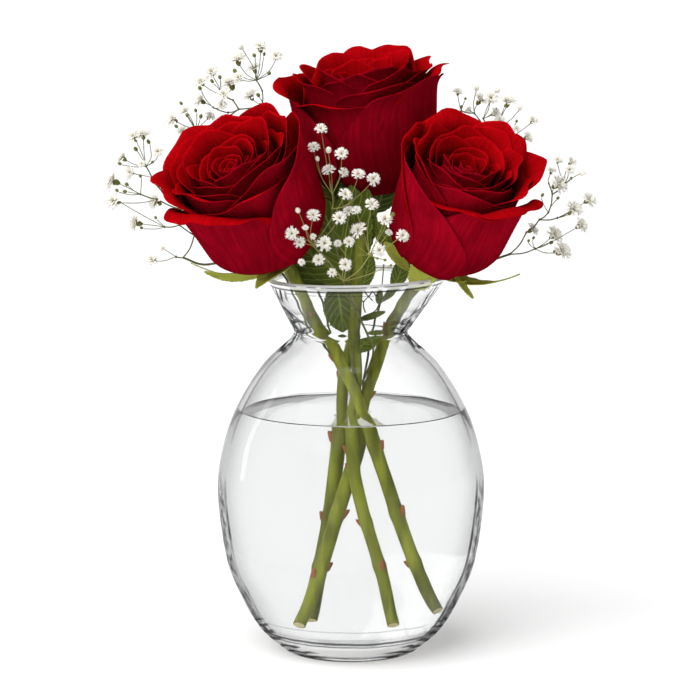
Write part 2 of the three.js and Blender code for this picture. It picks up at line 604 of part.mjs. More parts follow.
// ------------------------------------------------------------------ the bunch in its vase
const GREEN = 0x5f7d2c;
const bunch = new THREE.Group();
const holes = [
  ...Object.keys(STEMS).map((side) => roseStem(side, GAP)),
  leafShoot(GAP),
  ...Object.values(SPRAYS).map((spray) => sprayStem(spray, GAP)),
];

bunch.add(meshOf(makeVase(), 'vase', 0xe8f0f2, 0.05));
bunch.add(meshOf(makeWater(holes), 'water', 0xd8e6ea, 0.05));
Object.entries(BLOOMS).forEach(([side, bloom]) => {
  bunch.add(meshOf(makeBloom(bloom), `bloom_${side}`, 0xa3000c, 0.6));
  bunch.add(meshOf(roseStem(side), `stem_${side}`, GREEN, 0.5));
});
bunch.add(meshOf(leafShoot(), 'leaf_shoot', 0x41661f, 0.5));
Object.entries(SPRAYS).forEach(([place, spray]) => {
  bunch.add(meshOf(makeSpray(spray), `spray_${place}`, 0xf3efe2, 0.7));
});

export default bunch;
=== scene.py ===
"""Three open red roses with baby's breath and a leafy shoot, in a clear glass vase of water."""
import math

import bpy
import numpy as np
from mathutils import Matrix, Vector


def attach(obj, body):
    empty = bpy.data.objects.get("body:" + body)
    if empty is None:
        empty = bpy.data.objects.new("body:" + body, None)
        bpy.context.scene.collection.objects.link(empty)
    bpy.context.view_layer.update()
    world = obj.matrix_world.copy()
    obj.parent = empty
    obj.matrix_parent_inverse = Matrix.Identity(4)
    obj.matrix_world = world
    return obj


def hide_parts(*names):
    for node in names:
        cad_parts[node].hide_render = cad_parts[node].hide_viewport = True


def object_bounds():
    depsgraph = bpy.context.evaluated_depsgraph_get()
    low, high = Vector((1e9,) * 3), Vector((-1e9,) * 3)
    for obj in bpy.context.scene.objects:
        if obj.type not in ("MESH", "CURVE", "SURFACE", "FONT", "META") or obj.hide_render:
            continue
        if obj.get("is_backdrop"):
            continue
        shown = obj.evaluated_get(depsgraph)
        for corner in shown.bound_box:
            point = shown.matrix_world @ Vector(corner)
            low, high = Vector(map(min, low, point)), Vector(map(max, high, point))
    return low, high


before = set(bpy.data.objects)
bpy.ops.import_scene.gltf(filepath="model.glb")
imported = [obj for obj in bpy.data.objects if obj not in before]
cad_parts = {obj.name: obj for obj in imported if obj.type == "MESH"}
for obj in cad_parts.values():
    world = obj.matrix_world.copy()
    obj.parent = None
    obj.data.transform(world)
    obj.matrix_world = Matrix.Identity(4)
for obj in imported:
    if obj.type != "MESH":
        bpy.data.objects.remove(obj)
cad_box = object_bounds()
MM = 0.001                       # the pieces' sizes below are in millimetres


# ---------------------------------------------------------------------------------------
# The table, the room, the lamps and the camera, all in metres. A white table runs out of view
# on all sides, under one broad lamp. The room is white all round where it is seen, but its
# light and its reflections fade overhead and on the right, and its reflections also in front.
TABLE_REACH = 24.0               # metres from the vase to the table's edge
TABLE_SINK = 0.0003              # the table lies this far under the vase, so they don't touch
TABLE_WHITE = (0.93, 0.93, 0.93)
THROUGH_GLASS = 0.7              # how far the table is evened out where it is seen through glass
CAMERA_BACK, CAMERA_HEIGHT, CAMERA_SIDE = 1.620, 0.397, -0.00054
CAMERA_DOWN = math.radians(8.09)
CAMERA_LENS, CAMERA_SENSOR = 153.3, 36.0
ROOM_GLOW = 1.12
# each fade starts and stops where a direction goes this much upwards, to the right or to the
# front, with these shares of the glow
ROOM_TOP = (0.25, 0.75, 1.0, 0.30)
ROOM_RIGHT = (0.05, 0.85, 1.0, 0.40)
ROOM_FRONT = (0.10, 0.80, 1.0, 0.45)
LAMP_FROM = (-0.36, -0.58, 0.80)
LAMP_WIDTH = math.radians(54)
LAMP_POWER = 3.0
# place, what it faces, width and height, power
SOFTBOXES = [
    ((0.0, -0.1, 1.5), (0.0, 0.0, 0.2), (0.6, 0.6), 3.0),
    ((-1.5, 0.45, 0.55), (0.0, 0.0, 0.15), (0.18, 1.0), 1.5),
]


def new_object(name, vertices, faces):
    """A mesh object at the origin, smooth, from vertices in metres and a list of faces."""
    mesh = bpy.data.meshes.new(name)
    mesh.from_pydata(np.asarray(vertices, dtype=float).tolist(), [], faces)
    mesh.shade_smooth()
    thing = bpy.data.objects.new(name, mesh)
    bpy.context.scene.collection.objects.link(thing)
    return thing


def nodes_in(tree):
    """The function that adds a node to a tree. It takes the node's kind, what goes into its
    inputs, which output is wanted, and the node's settings, and it returns that output."""
    def add(kind, inputs=None, out=0, **settings):
        node = tree.nodes.new("ShaderNode" + kind)
        for key, value in settings.items():
            setattr(node, key, value)
        for key, value in (inputs or {}).items():
            if isinstance(value, bpy.types.NodeSocket):
                tree.links.new(value, node.inputs[key])
            else:
                node.inputs[key].default_value = value
        return node.outputs[out]

    return add


def new_material(name):
    """An empty node material: the function that adds its nodes, and the one that ends it with a
    shader and hands it over."""
    material = bpy.data.materials.new(name)
    material.use_nodes = True
    tree = material.node_tree
    tree.nodes.clear()
    surface = tree.nodes.new("ShaderNodeOutputMaterial").inputs["Surface"]

    def finish(shader):
        tree.links.new(shader, surface)
        return material

    return nodes_in(tree), finish


def folded(operation):
    """The function that joins any number of values, from the first on, by one operation."""
    def fold(add, result, *others):
        for value in others:
            result = add("Math", {0: result, 1: value}, operation=operation)
        return result

    return fold


product, total, minus, most = map(folded, ("MULTIPLY", "ADD", "SUBTRACT", "MAXIMUM"))


def ramp(add, value, start, stop, low=0.0, high=1.0):
    """A soft step: low at start and beyond it, high at stop and beyond it."""
    return add("MapRange", {0: value, 1: start, 2: stop, 3: low, 4: high},
               interpolation_type="SMOOTHSTEP")


def table_material():
    """Matt white. Through the glass it looks nearly as white as the room behind it."""
    add, finish = new_material("table_white")
    paint = add("BsdfPrincipled", {"Base Color": (*TABLE_WHITE, 1), "Roughness": 0.7,
                                   "Specular IOR Level": 0.1})
    as_room = add("Emission", {"Color": (1, 1, 1, 1), "Strength": ROOM_GLOW})
    through = product(add, add("LightPath", out="Is Transmission Ray"), THROUGH_GLASS)
    return finish(add("MixShader", {0: through, 1: paint, 2: as_room}))


corners = np.array([(-1, -1, 0), (1, -1, 0), (1, 1, 0), (-1, 1, 0)])
table = new_object("table", corners * TABLE_REACH - (0, 0, TABLE_SINK), [(0, 1, 2, 3)])
table.data.materials.append(table_material())
table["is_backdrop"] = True

room = bpy.data.worlds.new("room")
bpy.context.scene.world = room
room.use_nodes = True
glow = room.node_tree.nodes["Background"].inputs
glow["Strength"].default_value = ROOM_GLOW
add = nodes_in(room.node_tree)
right, back, up = add("SeparateXYZ", {0: add("TexCoord", out="Generated")}).node.outputs
ray = add("LightPath").node.outputs
in_front = most(add, minus(add, 1.0, ray["Is Glossy Ray"]),
                ramp(add, product(add, back, -1.0), *ROOM_FRONT))
faded = product(add, ramp(add, up, *ROOM_TOP), ramp(add, right, *ROOM_RIGHT), in_front)
shown = most(add, ray["Is Camera Ray"], ray["Is Transmission Ray"], faded)
room.node_tree.links.new(shown, glow["Color"])


def new_lamp(name, kind, away, power):
    """A lamp that shines along the direction opposite to away."""
    light = bpy.data.objects.new(name, bpy.data.lights.new(name, kind))
    light.data.energy = power
    light.rotation_euler = (math.atan2(math.hypot(*away[:2]), away[2]), 0,
                            math.atan2(away[0], -away[1]))
    bpy.context.scene.collection.objects.link(light)
    return light


lamp = new_lamp("lamp", "SUN", LAMP_FROM, LAMP_POWER)
lamp.data.angle = LAMP_WIDTH
lamp.visible_glossy = False
for place, aim, (width, height), power in SOFTBOXES:
    softbox = new_lamp("softbox", "AREA", np.array(place) - aim, power)
    softbox.location = place
    softbox.visible_transmission = False
    softbox.data.shape = "RECTANGLE"
    softbox.data.size, softbox.data.size_y = width, height

camera = bpy.data.objects.new("camera", bpy.data.cameras.new("camera"))
camera.data.sensor_width = CAMERA_SENSOR
camera.data.lens = CAMERA_LENS
camera.location = (CAMERA_SIDE, -CAMERA_BACK, CAMERA_HEIGHT)
camera.rotation_euler = (math.pi / 2 - CAMERA_DOWN, 0, 0)
bpy.context.scene.collection.objects.link(camera)
bpy.context.scene.camera = camera
bpy.context.scene.view_settings.view_transform = "Standard"


# ---------------------------------------------------------------------------------------
# The vase: blown clear glass, with a thick flat floor, a round belly drawn in to a narrow
# neck, and a flared mouth with a melted lip. Its wall is about 3 mm.
BELLY = [(36.3, 0), (50.1, 12.2), (60.3, 29.3), (69.0, 52.0), (73.5, 89.0), (70.3, 114.0),
         (62.5, 136.0), (48.6, 158.4), (34.6, 172.0), (31.0, 176.4)]
FLARE = [(31.4, 178.0), (34.6, 183.0), (41.8, 194.4), (48.6, 205.4)]
FLARE_BLEND = 12.0               # the height over which the wall's inside passes into the flare's
WALL = 3.0
LIP_WALL = 1.9
LIP_THINS = (176.0, 26.0)        # the height where the wall starts to thin, and over how much
GLASS_FLOOR = 11.0
FLOOR_FLAT = 37.0                # the floor's radius inside, up to the heel's tight curve
HEEL_RISE = 6.0                  # the heel's curve ends this far above the floor
PUNT = (31.0, 34.5, 0.9)         # the foot ring's inner and outer radius, and its hollow
RIDGES = (0.03, 9.0)             # the tooling rings inside the flare: depth and spacing
ROUND = 192                      # segments round the vase
BELLY_POINTS, FLARE_POINTS, HEEL_POINTS, LIP_POINTS = 120, 24, 14, 9
SKEW = (3.5, 0.024, 0.9)         # the mouth's shift to the right, its tilt, and its lift
CLEAR = (0.965, 0.968, 0.968)
EDGE, INNER_EDGE = (0.06, 0.064, 0.064), (0.30, 0.305, 0.305)  # its colour seen edge-on, darkened as painted shade for the dark that glass bends in at its outline
GLASS_SHADE = (0.08, 0.08, 0.08)  # what it lets through of the light, at its darkest
GLASS_SHEEN = (0.32, 0.32, 0.32)  # how strongly it mirrors the room
INNER_SHEEN = (0.08, 0.08, 0.08)  # the same where water or air inside touches the wall
GLASS_IOR, RIPPLE = 1.5, 0.15
PAINTED_SWEEPS = [(183.9, 1.4), (176.4, 2.4)]  # painted dark sweeps on the flare, standing in for bent light: height and half width
PAINTED_BASE_LINES = [(1.0, 0.7, 0.85), (3.4, 0.6, 0.6), (12.1, 0.7, 0.6), (14.2, 1.1, 0.85),
              (21.8, 0.6, 0.3)]  # painted dark lines round the thick base, standing in for bent light: height, half width, strength


def smooth(t):
    """The soft step from 0 to 1."""
    t = np.clip(t, 0, 1)
    return t * t * (3 - 2 * t)


def spline(points, count):
    """A smooth curve through points (uniform Catmull-Rom, its ends carried on straight): count
    points evenly spread over the knots."""
    points = np.asarray(points, dtype=float)
    padded = np.vstack([2 * points[0] - points[1], points, 2 * points[-1] - points[-2]])
    at = np.linspace(0, len(points) - 1, count)
    knot = np.minimum(at.astype(int), len(points) - 2)
    t = (at - knot)[:, None]
    a, b, c, d = (padded[knot + k] for k in range(4))
    return 0.5 * (2 * b + (c - a) * t + (2 * a - 5 * b + 4 * c - d) * t ** 2
                  + (3 * b - a - 3 * c + d) * t ** 3)


def even(points, count):
    """The polyline's points moved to equal steps of its length."""
    run = np.concatenate([[0], np.cumsum(np.linalg.norm(np.diff(points, axis=0), axis=1))])
    at = np.linspace(0, run[-1], count)
    return np.stack([np.interp(at, run, points[:, k]) for k in range(points.shape[1])], axis=1)


def unit(vectors):
    """Vectors brought to length 1."""
    return vectors / np.maximum(np.linalg.norm(vectors, axis=-1, keepdims=True), 1e-12)


def belly_outline(inset):
    """The outside of the glass from its base to below the lip, moved inwards by inset."""
    outline = np.vstack([spline(BELLY, BELLY_POINTS), spline(FLARE, FLARE_POINTS)])
    slope = unit(np.gradient(outline, axis=0))
    return outline + inset * np.stack([-slope[:, 1], slope[:, 0]], axis=1)


def inner_outline(inset):
    """The inside of the glass from the middle of its floor to below the lip: the flat floor,
    a tight heel, and the wall set inset inside the outside, thinner and ridged in the flare."""
    wall = belly_outline(inset)
    in_flare = smooth((wall[:, 1] - FLARE[0][1]) / FLARE_BLEND + 0.5)
    thinner = (WALL - LIP_WALL) * smooth((wall[:, 1] - LIP_THINS[0]) / LIP_THINS[1])
    wall[:, 0] += in_flare * (inset - WALL + thinner)
    wall[:, 0] += in_flare * RIDGES[0] * np.sin(2 * math.pi * wall[:, 1] / RIDGES[1])
    wall = wall[wall[:, 1] > GLASS_FLOOR + HEEL_RISE]
    keep = np.concatenate([[True], np.diff(wall[:, 1]) > 0])
    floor = GLASS_FLOOR + inset - WALL
    heel = spline([(FLOOR_FLAT, floor), (FLOOR_FLAT + 5, floor + 0.5), wall[0]], HEEL_POINTS)
    return np.vstack([[(0, floor), (FLOOR_FLAT * 0.5, floor)], heel[:-1], wall[keep]])


def ring_faces(count, sides):
    """The faces of a closed skin over count rings of points that follow each other: a band
    between each two rings, and at each end a fan to one of the two points after the rings."""
    i, j = np.meshgrid(np.arange(count - 1), np.arange(sides), indexing="ij")
    a, b = i * sides + j, i * sides + (j + 1) % sides
    bands = np.stack([a, b, b + sides, a + sides], axis=2).reshape(-1, 4)
    k = np.arange(sides)
    after = (k + 1) % sides
    end, top = count * sides, (count - 1) * sides
    first_fan = np.stack([np.full(sides, end), after, k], axis=1)
    last_fan = np.stack([np.full(sides, end + 1), top + k, top + after], axis=1)
    return bands.tolist() + first_fan.tolist() + last_fan.tolist()


def lathe(profile, segments):
    """A closed solid of revolution about Z. The profile's first and last points are on the
    axis and become single vertices; every other point becomes a ring."""
    profile = np.asarray(profile)
    turn = np.arange(segments) * 2 * math.pi / segments
    rings = profile[1:-1]
    points = np.stack([rings[:, :1] * np.cos(turn), rings[:, :1] * np.sin(turn),
                       np.broadcast_to(rings[:, 1:], (len(rings), segments))], axis=2)
    vertices = np.vstack([points.reshape(-1, 3), [(0, 0, profile[0, 1]), (0, 0, profile[-1, 1])]])
    return vertices, ring_faces(len(rings), segments)


def spread(add, value, start, stop, low=0.0, high=1.0):
    """A straight step: low at start and beyond it, high at stop and beyond it."""
    return add("MapRange", {0: value, 1: start, 2: stop, 3: low, 4: high})


def within(add, value, *steps):
    """The product of soft steps of one value, each from its start to its stop."""
    return product(add, *[ramp(add, value, *step) for step in steps])


def near(add, value, level, half, core):
    """1 where the value is less than core away from level, 0 where it is more than half."""
    away = add("Math", {0: minus(add, value, level)}, operation="ABSOLUTE")
    return ramp(add, away, half, core)


def noise(add, place, scale, detail, stretch=None):
    """Soft noise, 0 to 1, at a place, or at the place multiplied by stretch."""
    if stretch:
        place = add("Mapping", {0: place, "Scale": stretch})
    return add("TexNoise", {0: place, "Scale": scale, "Detail": detail})


def blend(add, share, first, second):
    """The colour that lies by share between the first and the second."""
    first, second = [(*end, 1) if isinstance(end, tuple) else end for end in (first, second)]
    return add("Mix", {0: share, 6: first, 7: second}, out=2, data_type="RGBA")


def wavy_lines(add, height, facing, wobble, rates, width):
    """Thin dark lines, 0 to 1, where sin(2 pi (height, facing and wobble, each times its rate))
    comes within width of its top: level over the front, and along the outline at the sides."""
    parts = [product(add, value, rate) for value, rate in zip((height, facing, wobble), rates)]
    wave = add("Math", {0: product(add, total(add, *parts), 2 * math.pi)}, operation="SINE")
    return ramp(add, wave, 1 - 1.3 * width, 1 - 0.8 * width)


def painted_dark_lines(add, place, height, facing):
    """Painted shade on the glass, 0 to 1: dark lines that stand in for the dark that its thick
    parts show where they bend the light away: broken wavy lines and sweeps on the flare and round
    the neck, thin lines along the lip, a streaked band with a line inside it along the belly's
    edges, and wavy lines and rings round the base. Each is a product of soft steps of the height,
    in metres, of facing, which is 0 square to the view and 1 along it, and of noise."""
    wobble = noise(add, place, 55.0, 2.0)
    fine = noise(add, place, 170.0, 2.0)

    def waves(rates, width):
        return wavy_lines(add, height, facing, wobble, rates, width)

    flare = product(add, waves((55.0, 9.0, 2.0), 0.65), ramp(add, wobble, 0.40, 0.50),
                    ramp(add, facing, 0.52, 0.62),
                    within(add, height, (0.172, 0.175), (0.2045, 0.202)), 0.95)
    throat = product(add, waves((200.0, 2.0, 2.0), 0.7), ramp(add, fine, 0.40, 0.50),
                     ramp(add, facing, 0.40, 0.52),
                     within(add, height, (0.173, 0.176), (0.194, 0.184)), 0.9)
    neck = product(add, ramp(add, fine, 0.46, 0.52), ramp(add, facing, 0.55, 0.7),
                   within(add, height, (0.165, 0.168), (0.179, 0.176)), 0.95)
    corner = product(add, waves((300.0, 4.0, 1.8), 0.75), ramp(add, facing, 0.60, 0.68),
                     ramp(add, height, 0.030, 0.020), 0.9)
    band = product(add, within(add, facing, (0.66, 0.74), (1.03, 0.94)),
                   spread(add, fine, 0.38, 0.62, 0.30, 0.85))
    line = within(add, facing, (0.63, 0.67), (0.73, 0.68))
    broken_line = product(add, line, spread(add, wobble, 0.35, 0.6, 0.4, 0.95))
    lower = within(add, height, (0.112, 0.085), (0.004, 0.014))
    side = most(add, product(add, most(add, band, broken_line), lower),
                product(add, line, ramp(add, height, 0.100, 0.135), 0.55),
                product(add, ramp(add, facing, 0.40, 0.68), 0.20),
                product(add, ramp(add, facing, 0.90, 0.97), 0.4))
    side = product(add, side, within(add, height, (0.004, 0.014), (0.176, 0.170)))
    marks = [flare, throat, neck, corner, side]
    swept = total(add, product(add, wobble, 0.012), height, product(add, facing, -0.016))
    for level, half in PAINTED_SWEEPS:
        marks.append(product(add, near(add, swept, level * MM, half * MM, 0.3 * half * MM),
                             ramp(add, fine, 0.36, 0.46), ramp(add, facing, 0.36, 0.52), 0.75))
    for level, half, grain, start, strength in (
            (0.2012, 0.0004, fine, 0.50, 0.6), (0.2034, 0.0009, wobble, 0.36, 0.9),
            (0.2059, 0.0006, fine, 0.40, 0.8)):
        marks.append(product(add, near(add, height, level, half, 0), strength,
                             ramp(add, grain, start, start + 0.06)))
    bent = total(add, product(add, wobble, 0.0016), height)
    for level, half, strength in PAINTED_BASE_LINES:
        marks.append(product(add, near(add, bent, level * MM, half * MM, 0.25 * half * MM),
                             strength))
    return most(add, *marks)


def glass_material(name, tint, edge, shade, ior, sheen, ripple=0.0, with_painted_light=False):
    """Clear and smooth: the colour tint where it is seen square and edge where it is seen
    edge-on, which with a dark edge is painted shade for the dark that glass bends in at its
    outline, with a faint hand-blown ripple and, when asked for, painted highlights on the heel
    and lip and painted dark lines on its outside. The lamp's light and bounced light pass straight
    through, so what stands inside is lit, and the lamp's is dimmed to shade where it grazes the
    glass and near the thick base."""
    add, finish = new_material(name)
    place = add("TexCoord", out="Object")
    swell = noise(add, place, 34.0, 1.0, stretch=(1, 1, 0.6))
    bump = add("Bump", {"Strength": ripple, "Distance": 0.002, "Height": swell})
    facing = add("LayerWeight", {"Blend": 0.5}, out="Facing")
    height = add("Attribute", out="Fac", attribute_name="height")
    grazing = add("Math", {0: spread(add, facing, 0.2, 1.0), 1: 2.0}, operation="POWER")
    grazing = product(add, grazing, within(add, height, (0.001, 0.003), (0.203, 0.197)))
    shader = add("BsdfPrincipled", {
        "Base Color": blend(add, grazing, tint, edge), "Roughness": 0.0, "IOR": ior,
        "Transmission Weight": 1.0, "Specular Tint": (*sheen, 1), "Normal": bump})
    if with_painted_light:
        outside = minus(add, 1.0, add("NewGeometry", out="Backfacing"))
        # painted highlight: a pale band where the thick heel is seen square, and a pale line along
        # the lip
        heel = product(add, within(add, height, (0.0025, 0.0045), (0.0115, 0.010)),
                       ramp(add, facing, 0.85, 0.65), 0.7)
        pale = most(add, heel, product(add, ramp(add, height, 0.2038, 0.2044), 0.5))
        # on the outside only: the painted highlight in pale white, then the painted dark lines in
        # near-black
        for share, colour in ((pale, (0.9, 0.9, 0.9, 1)),
                              (painted_dark_lines(add, place, height, facing), (0.02, 0.021, 0.022, 1))):
            shader = add("MixShader", {0: product(add, share, outside), 1: shader,
                                       2: add("BsdfDiffuse", {"Color": colour})})
    ray = add("LightPath").node.outputs
    base = product(add, ramp(add, height, 0.055, 0.005), 0.95)
    dimming = product(add, most(add, grazing, base), ray["Is Shadow Ray"])
    straight = most(add, ray["Is Shadow Ray"], ray["Is Diffuse Ray"])
    passing = add("BsdfTransparent", {"Color": blend(add, dimming, (1, 1, 1), shade)})
    return finish(add("MixShader", {0: straight, 1: shader, 2: passing}))


outer = belly_outline(0)
inner = inner_outline(WALL)
lip_from, lip_to = outer[-1], inner[-1]
half_turn = np.linspace(0, math.pi, LIP_POINTS)[1:-1]
lip_middle, lip_half = (lip_from + lip_to) / 2, (lip_from - lip_to) / 2
lip_up = np.array([-lip_half[1], lip_half[0]])
lip = lip_middle + np.cos(half_turn)[:, None] * lip_half + np.sin(half_turn)[:, None] * lip_up
foot = [(0, PUNT[2]), (PUNT[0] * 0.6, PUNT[2]), (PUNT[0], PUNT[2] * 0.6),
        ((PUNT[0] + PUNT[1]) / 2, 0), (PUNT[1], 0), (36.0, 0.12)]
profile = np.vstack([foot, outer[1:], lip, inner[::-1]])
vertices, faces = lathe(profile, ROUND)
height = vertices[:, 2].copy()
up_flare = np.clip((height - FLARE[0][1]) / (FLARE[-1][1] - FLARE[0][1]), 0, None)
vertices[:, 2] += up_flare * (SKEW[2] + SKEW[1] * vertices[:, 0])
vertices[:, 0] += up_flare * SKEW[0]
vase = new_object("vase_glass", vertices * MM, faces)
vase.data.attributes.new("height", "FLOAT", "POINT").data.foreach_set("value", height * MM)
for material in (glass_material("vase_glass", CLEAR, EDGE, GLASS_SHADE, GLASS_IOR, GLASS_SHEEN,
                                RIPPLE, with_painted_light=True),
                 glass_material("vase_glass_inside", CLEAR, INNER_EDGE, GLASS_SHADE, GLASS_IOR,
                                INNER_SHEEN, RIPPLE)):
    vase.data.materials.append(material)
# the bands of faces up to the lip's inner edge are the outside
outside_faces = (len(foot) + len(outer) + len(lip)) * ROUND
inside = (np.arange(len(faces)) >= outside_faces).astype(np.int32)
vase.data.polygons.foreach_set("material_index", inside)
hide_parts("vase")
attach(vase, "root")


# ---------------------------------------------------------------------------------------
# The water: clear, and poured in to 133 mm, where it is a little over half of the vase. It wets
# the glass, creeps a little up the wall, and ripples where the stems stand in it.
WATER_LEVEL = 133.0
CREEP = (1.3, 0.8)               # how high the water climbs at the wall, and over what width
WETTING = 0.15                   # how far the water's skin lies inside the glass
# the water's colour seen square and seen edge-on; the edge-on one is a little darker, as painted
# shade at its outline
WATER_CLEAR, WATER_EDGE = (0.855, 0.857, 0.857), (0.80, 0.81, 0.81)
WATER_SHADE, SURFACE_SHEEN = (0.75, 0.75, 0.75), (1, 1, 1)
WATER_IOR = 1.333
SURFACE_RINGS = 60               # closer together towards the wall, where the water creeps up
# the ripples' place, reach, height and spacing
RIPPLES = [(0, 2, 12, 0.22, 7), (8, -9, 9, 0.25, 6), (-5, 6, 9, 0.2, 5)]

bed = inner_outline(WALL - WETTING)
bed = bed[bed[:, 1] < WATER_LEVEL + CREEP[0]]
rim_radius = bed[-1, 0]
across = rim_radius * (1 - np.linspace(0, 1, SURFACE_RINGS) ** 2.2)[1:]
creep = CREEP[0] * np.exp(-(rim_radius - across) / CREEP[1])
surface = np.stack([across, WATER_LEVEL + creep], axis=1)
vertices, faces = lathe(np.vstack([bed, surface]), ROUND)
on_top = (vertices[:, 2] > WATER_LEVEL - 0.5) & (np.hypot(*vertices[:, :2].T) < rim_radius - 4)
for x, y, reach, tall, spacing in RIPPLES:
    away = np.hypot(vertices[:, 0] - x, vertices[:, 1] - y)
    vertices[:, 2] += on_top * tall * np.cos(2 * math.pi * away / spacing) * np.exp(-away / reach)
water = new_object("vase_water", vertices * MM, faces)
height = water.data.attributes.new("height", "FLOAT", "POINT")
height.data.foreach_set("value", vertices[:, 2] * MM)
for name, sheen in (("clear_water", INNER_SHEEN), ("water_surface", SURFACE_SHEEN)):
    water.data.materials.append(glass_material(name, WATER_CLEAR, WATER_EDGE, WATER_SHADE,
                                               WATER_IOR, sheen))
# the open top's bands follow the bed's, and its middle fan is the last of all
face = np.arange(len(faces))
open_top = (face >= (len(bed) - 2) * ROUND) & ~((face >= len(faces) - 2 * ROUND)
                                                & (face < len(faces) - ROUND))
water.data.polygons.foreach_set("material_index", open_top.astype(np.int32))
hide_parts("water")
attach(water, "root")


# ---------------------------------------------------------------------------------------
# The three blooms. Each is a rolled centre of 27 petals, one golden angle apart, small and
# upright at first and then wider and more open, inside eleven outer petals that are placed one
# by one: some stand up, and some have lips that roll outwards.
INNER_PETALS = 27
GOLDEN = math.radians(137.508)
BLOOMS = {
    "left": {
        "root": (-43.5, -8, 224.5), "lean": (-0.448, -0.661), "spin": 0.3, "scale": 0.96, "seed": 0,
        # each outer petal's direction, how open it is, its width and length against the usual
        # ones, the slope in degrees that its lip ends at, and how much further out it stands
        "outer": [(197, 0.86, 1.0, 1.0, 20, 1), (60, 0.88, 1.0, 1.0, 30, 2),
                  (340, 0.90, 1.0, 1.0, 60, 3), (112, 0.92, 1.0, 1.0, 10, 0),
                  (280, 0.92, 1.1, 0.98, 35, 5), (20, 0.94, 1.0, 1.0, 40, 5),
                  (160, 0.96, 1.0, 0.98, 0, 2), (333, 0.97, 0.95, 1.0, 75, 12),
                  (95, 0.98, 1.0, 0.98, -20, 3), (255, 0.99, 1.1, 0.94, 0, 5),
                  (210, 1.0, 0.95, 0.97, -75, 7)],
    },
    "right": {
        "root": (46, -8, 221), "lean": (0.324, -0.616), "spin": 0.0, "scale": 0.96, "seed": 4,
        "outer": [(197, 0.86, 1.0, 1.0, 20, 0), (60, 0.88, 1.0, 1.0, 30, 0),
                  (335, 0.90, 1.0, 1.0, 20, 2), (112, 0.92, 1.0, 1.0, -10, 0),
                  (270, 0.92, 1.1, 0.98, 35, 1), (15, 0.94, 1.0, 1.0, 0, 2),
                  (165, 0.96, 1.0, 0.98, 40, 4), (312, 0.97, 0.9, 0.99, -50, 5),
                  (60, 0.98, 1.0, 1.0, 0, 2), (280, 0.99, 1.1, 0.90, -30, 3),
                  (205, 1.0, 1.15, 0.92, 65, 6)],
    },
    "back": {
        "root": (11.5, 38, 253), "lean": (-0.095, -0.195), "spin": 0.0, "scale": 0.99, "seed": 2,
        "outer": [(197, 0.86, 1.0, 1.0, 20, 2), (60, 0.88, 1.0, 1.0, 30, 2),
                  (335, 0.90, 1.0, 0.98, 20, 3), (112, 0.92, 1.0, 0.96, -10, 2),
                  (290, 0.92, 1.1, 0.95, 20, 3), (20, 0.94, 1.0, 0.96, 0, 3),
                  (165, 0.96, 1.0, 0.98, -30, 9), (345, 0.97, 1.0, 1.0, -20, 8),
                  (80, 0.98, 1.0, 0.95, -10, 2), (316, 0.99, 1.0, 0.95, 10, 9),
                  (232, 1.0, 1.1, 0.90, -35, 7)],
    },
}
# a petal by how open it is, from 0 to 1: its sizes, how far one of its edges is tucked in and
# the other stands out, and its slope in degrees at its root, its belly, its neck and its lip
OPEN = (0, 0.15, 0.35, 0.55, 0.75, 0.9, 1)
LENGTH = (60, 62, 67, 74, 82, 88, 90)
ROOT_RADIUS = (1, 2, 3, 4, 5, 6, 6)
HALF_WIDTH = (11, 15, 22, 30, 37, 40, 41)
TUCK = (1.2, 1.8, 2.6, 3.0, 2.6, 2.0, 2.0)
SLOPE_ROOT = (86, 79, 64, 45, 20, 3, -5)
SLOPE_BELLY = (89, 89, 87, 85, 84, 84, 84)
SLOPE_NECK = (92, 94, 93, 89, 87, 85, 84)
SLOPE_LIP = (88, 84, 74, 58, 40, 20, 0)
PETAL_ROWS, PETAL_COLUMNS = 42, 30
PETAL_THICK = (0.9, 0.3)         # at the root and at the lip
STEPS = 119                      # that a petal's slope is summed in
PETAL_INSIDE, PETAL_BACK = (0.310, 0.0010, 0.0030), (0.270, 0.0016, 0.0100)


def axes_of(lean, spin):
    """The three axes, as columns, of a bloom that faces along (lean, 1), turned by spin."""
    z = unit(np.array([*lean, 1.0]))
    x = unit(np.cross([0, 1, 0], z))
    y = np.cross(z, x)
    turned_x = x * math.cos(spin) + y * math.sin(spin)
    turned_y = y * math.cos(spin) - x * math.sin(spin)
    return np.stack([turned_x, turned_y, z], axis=1)


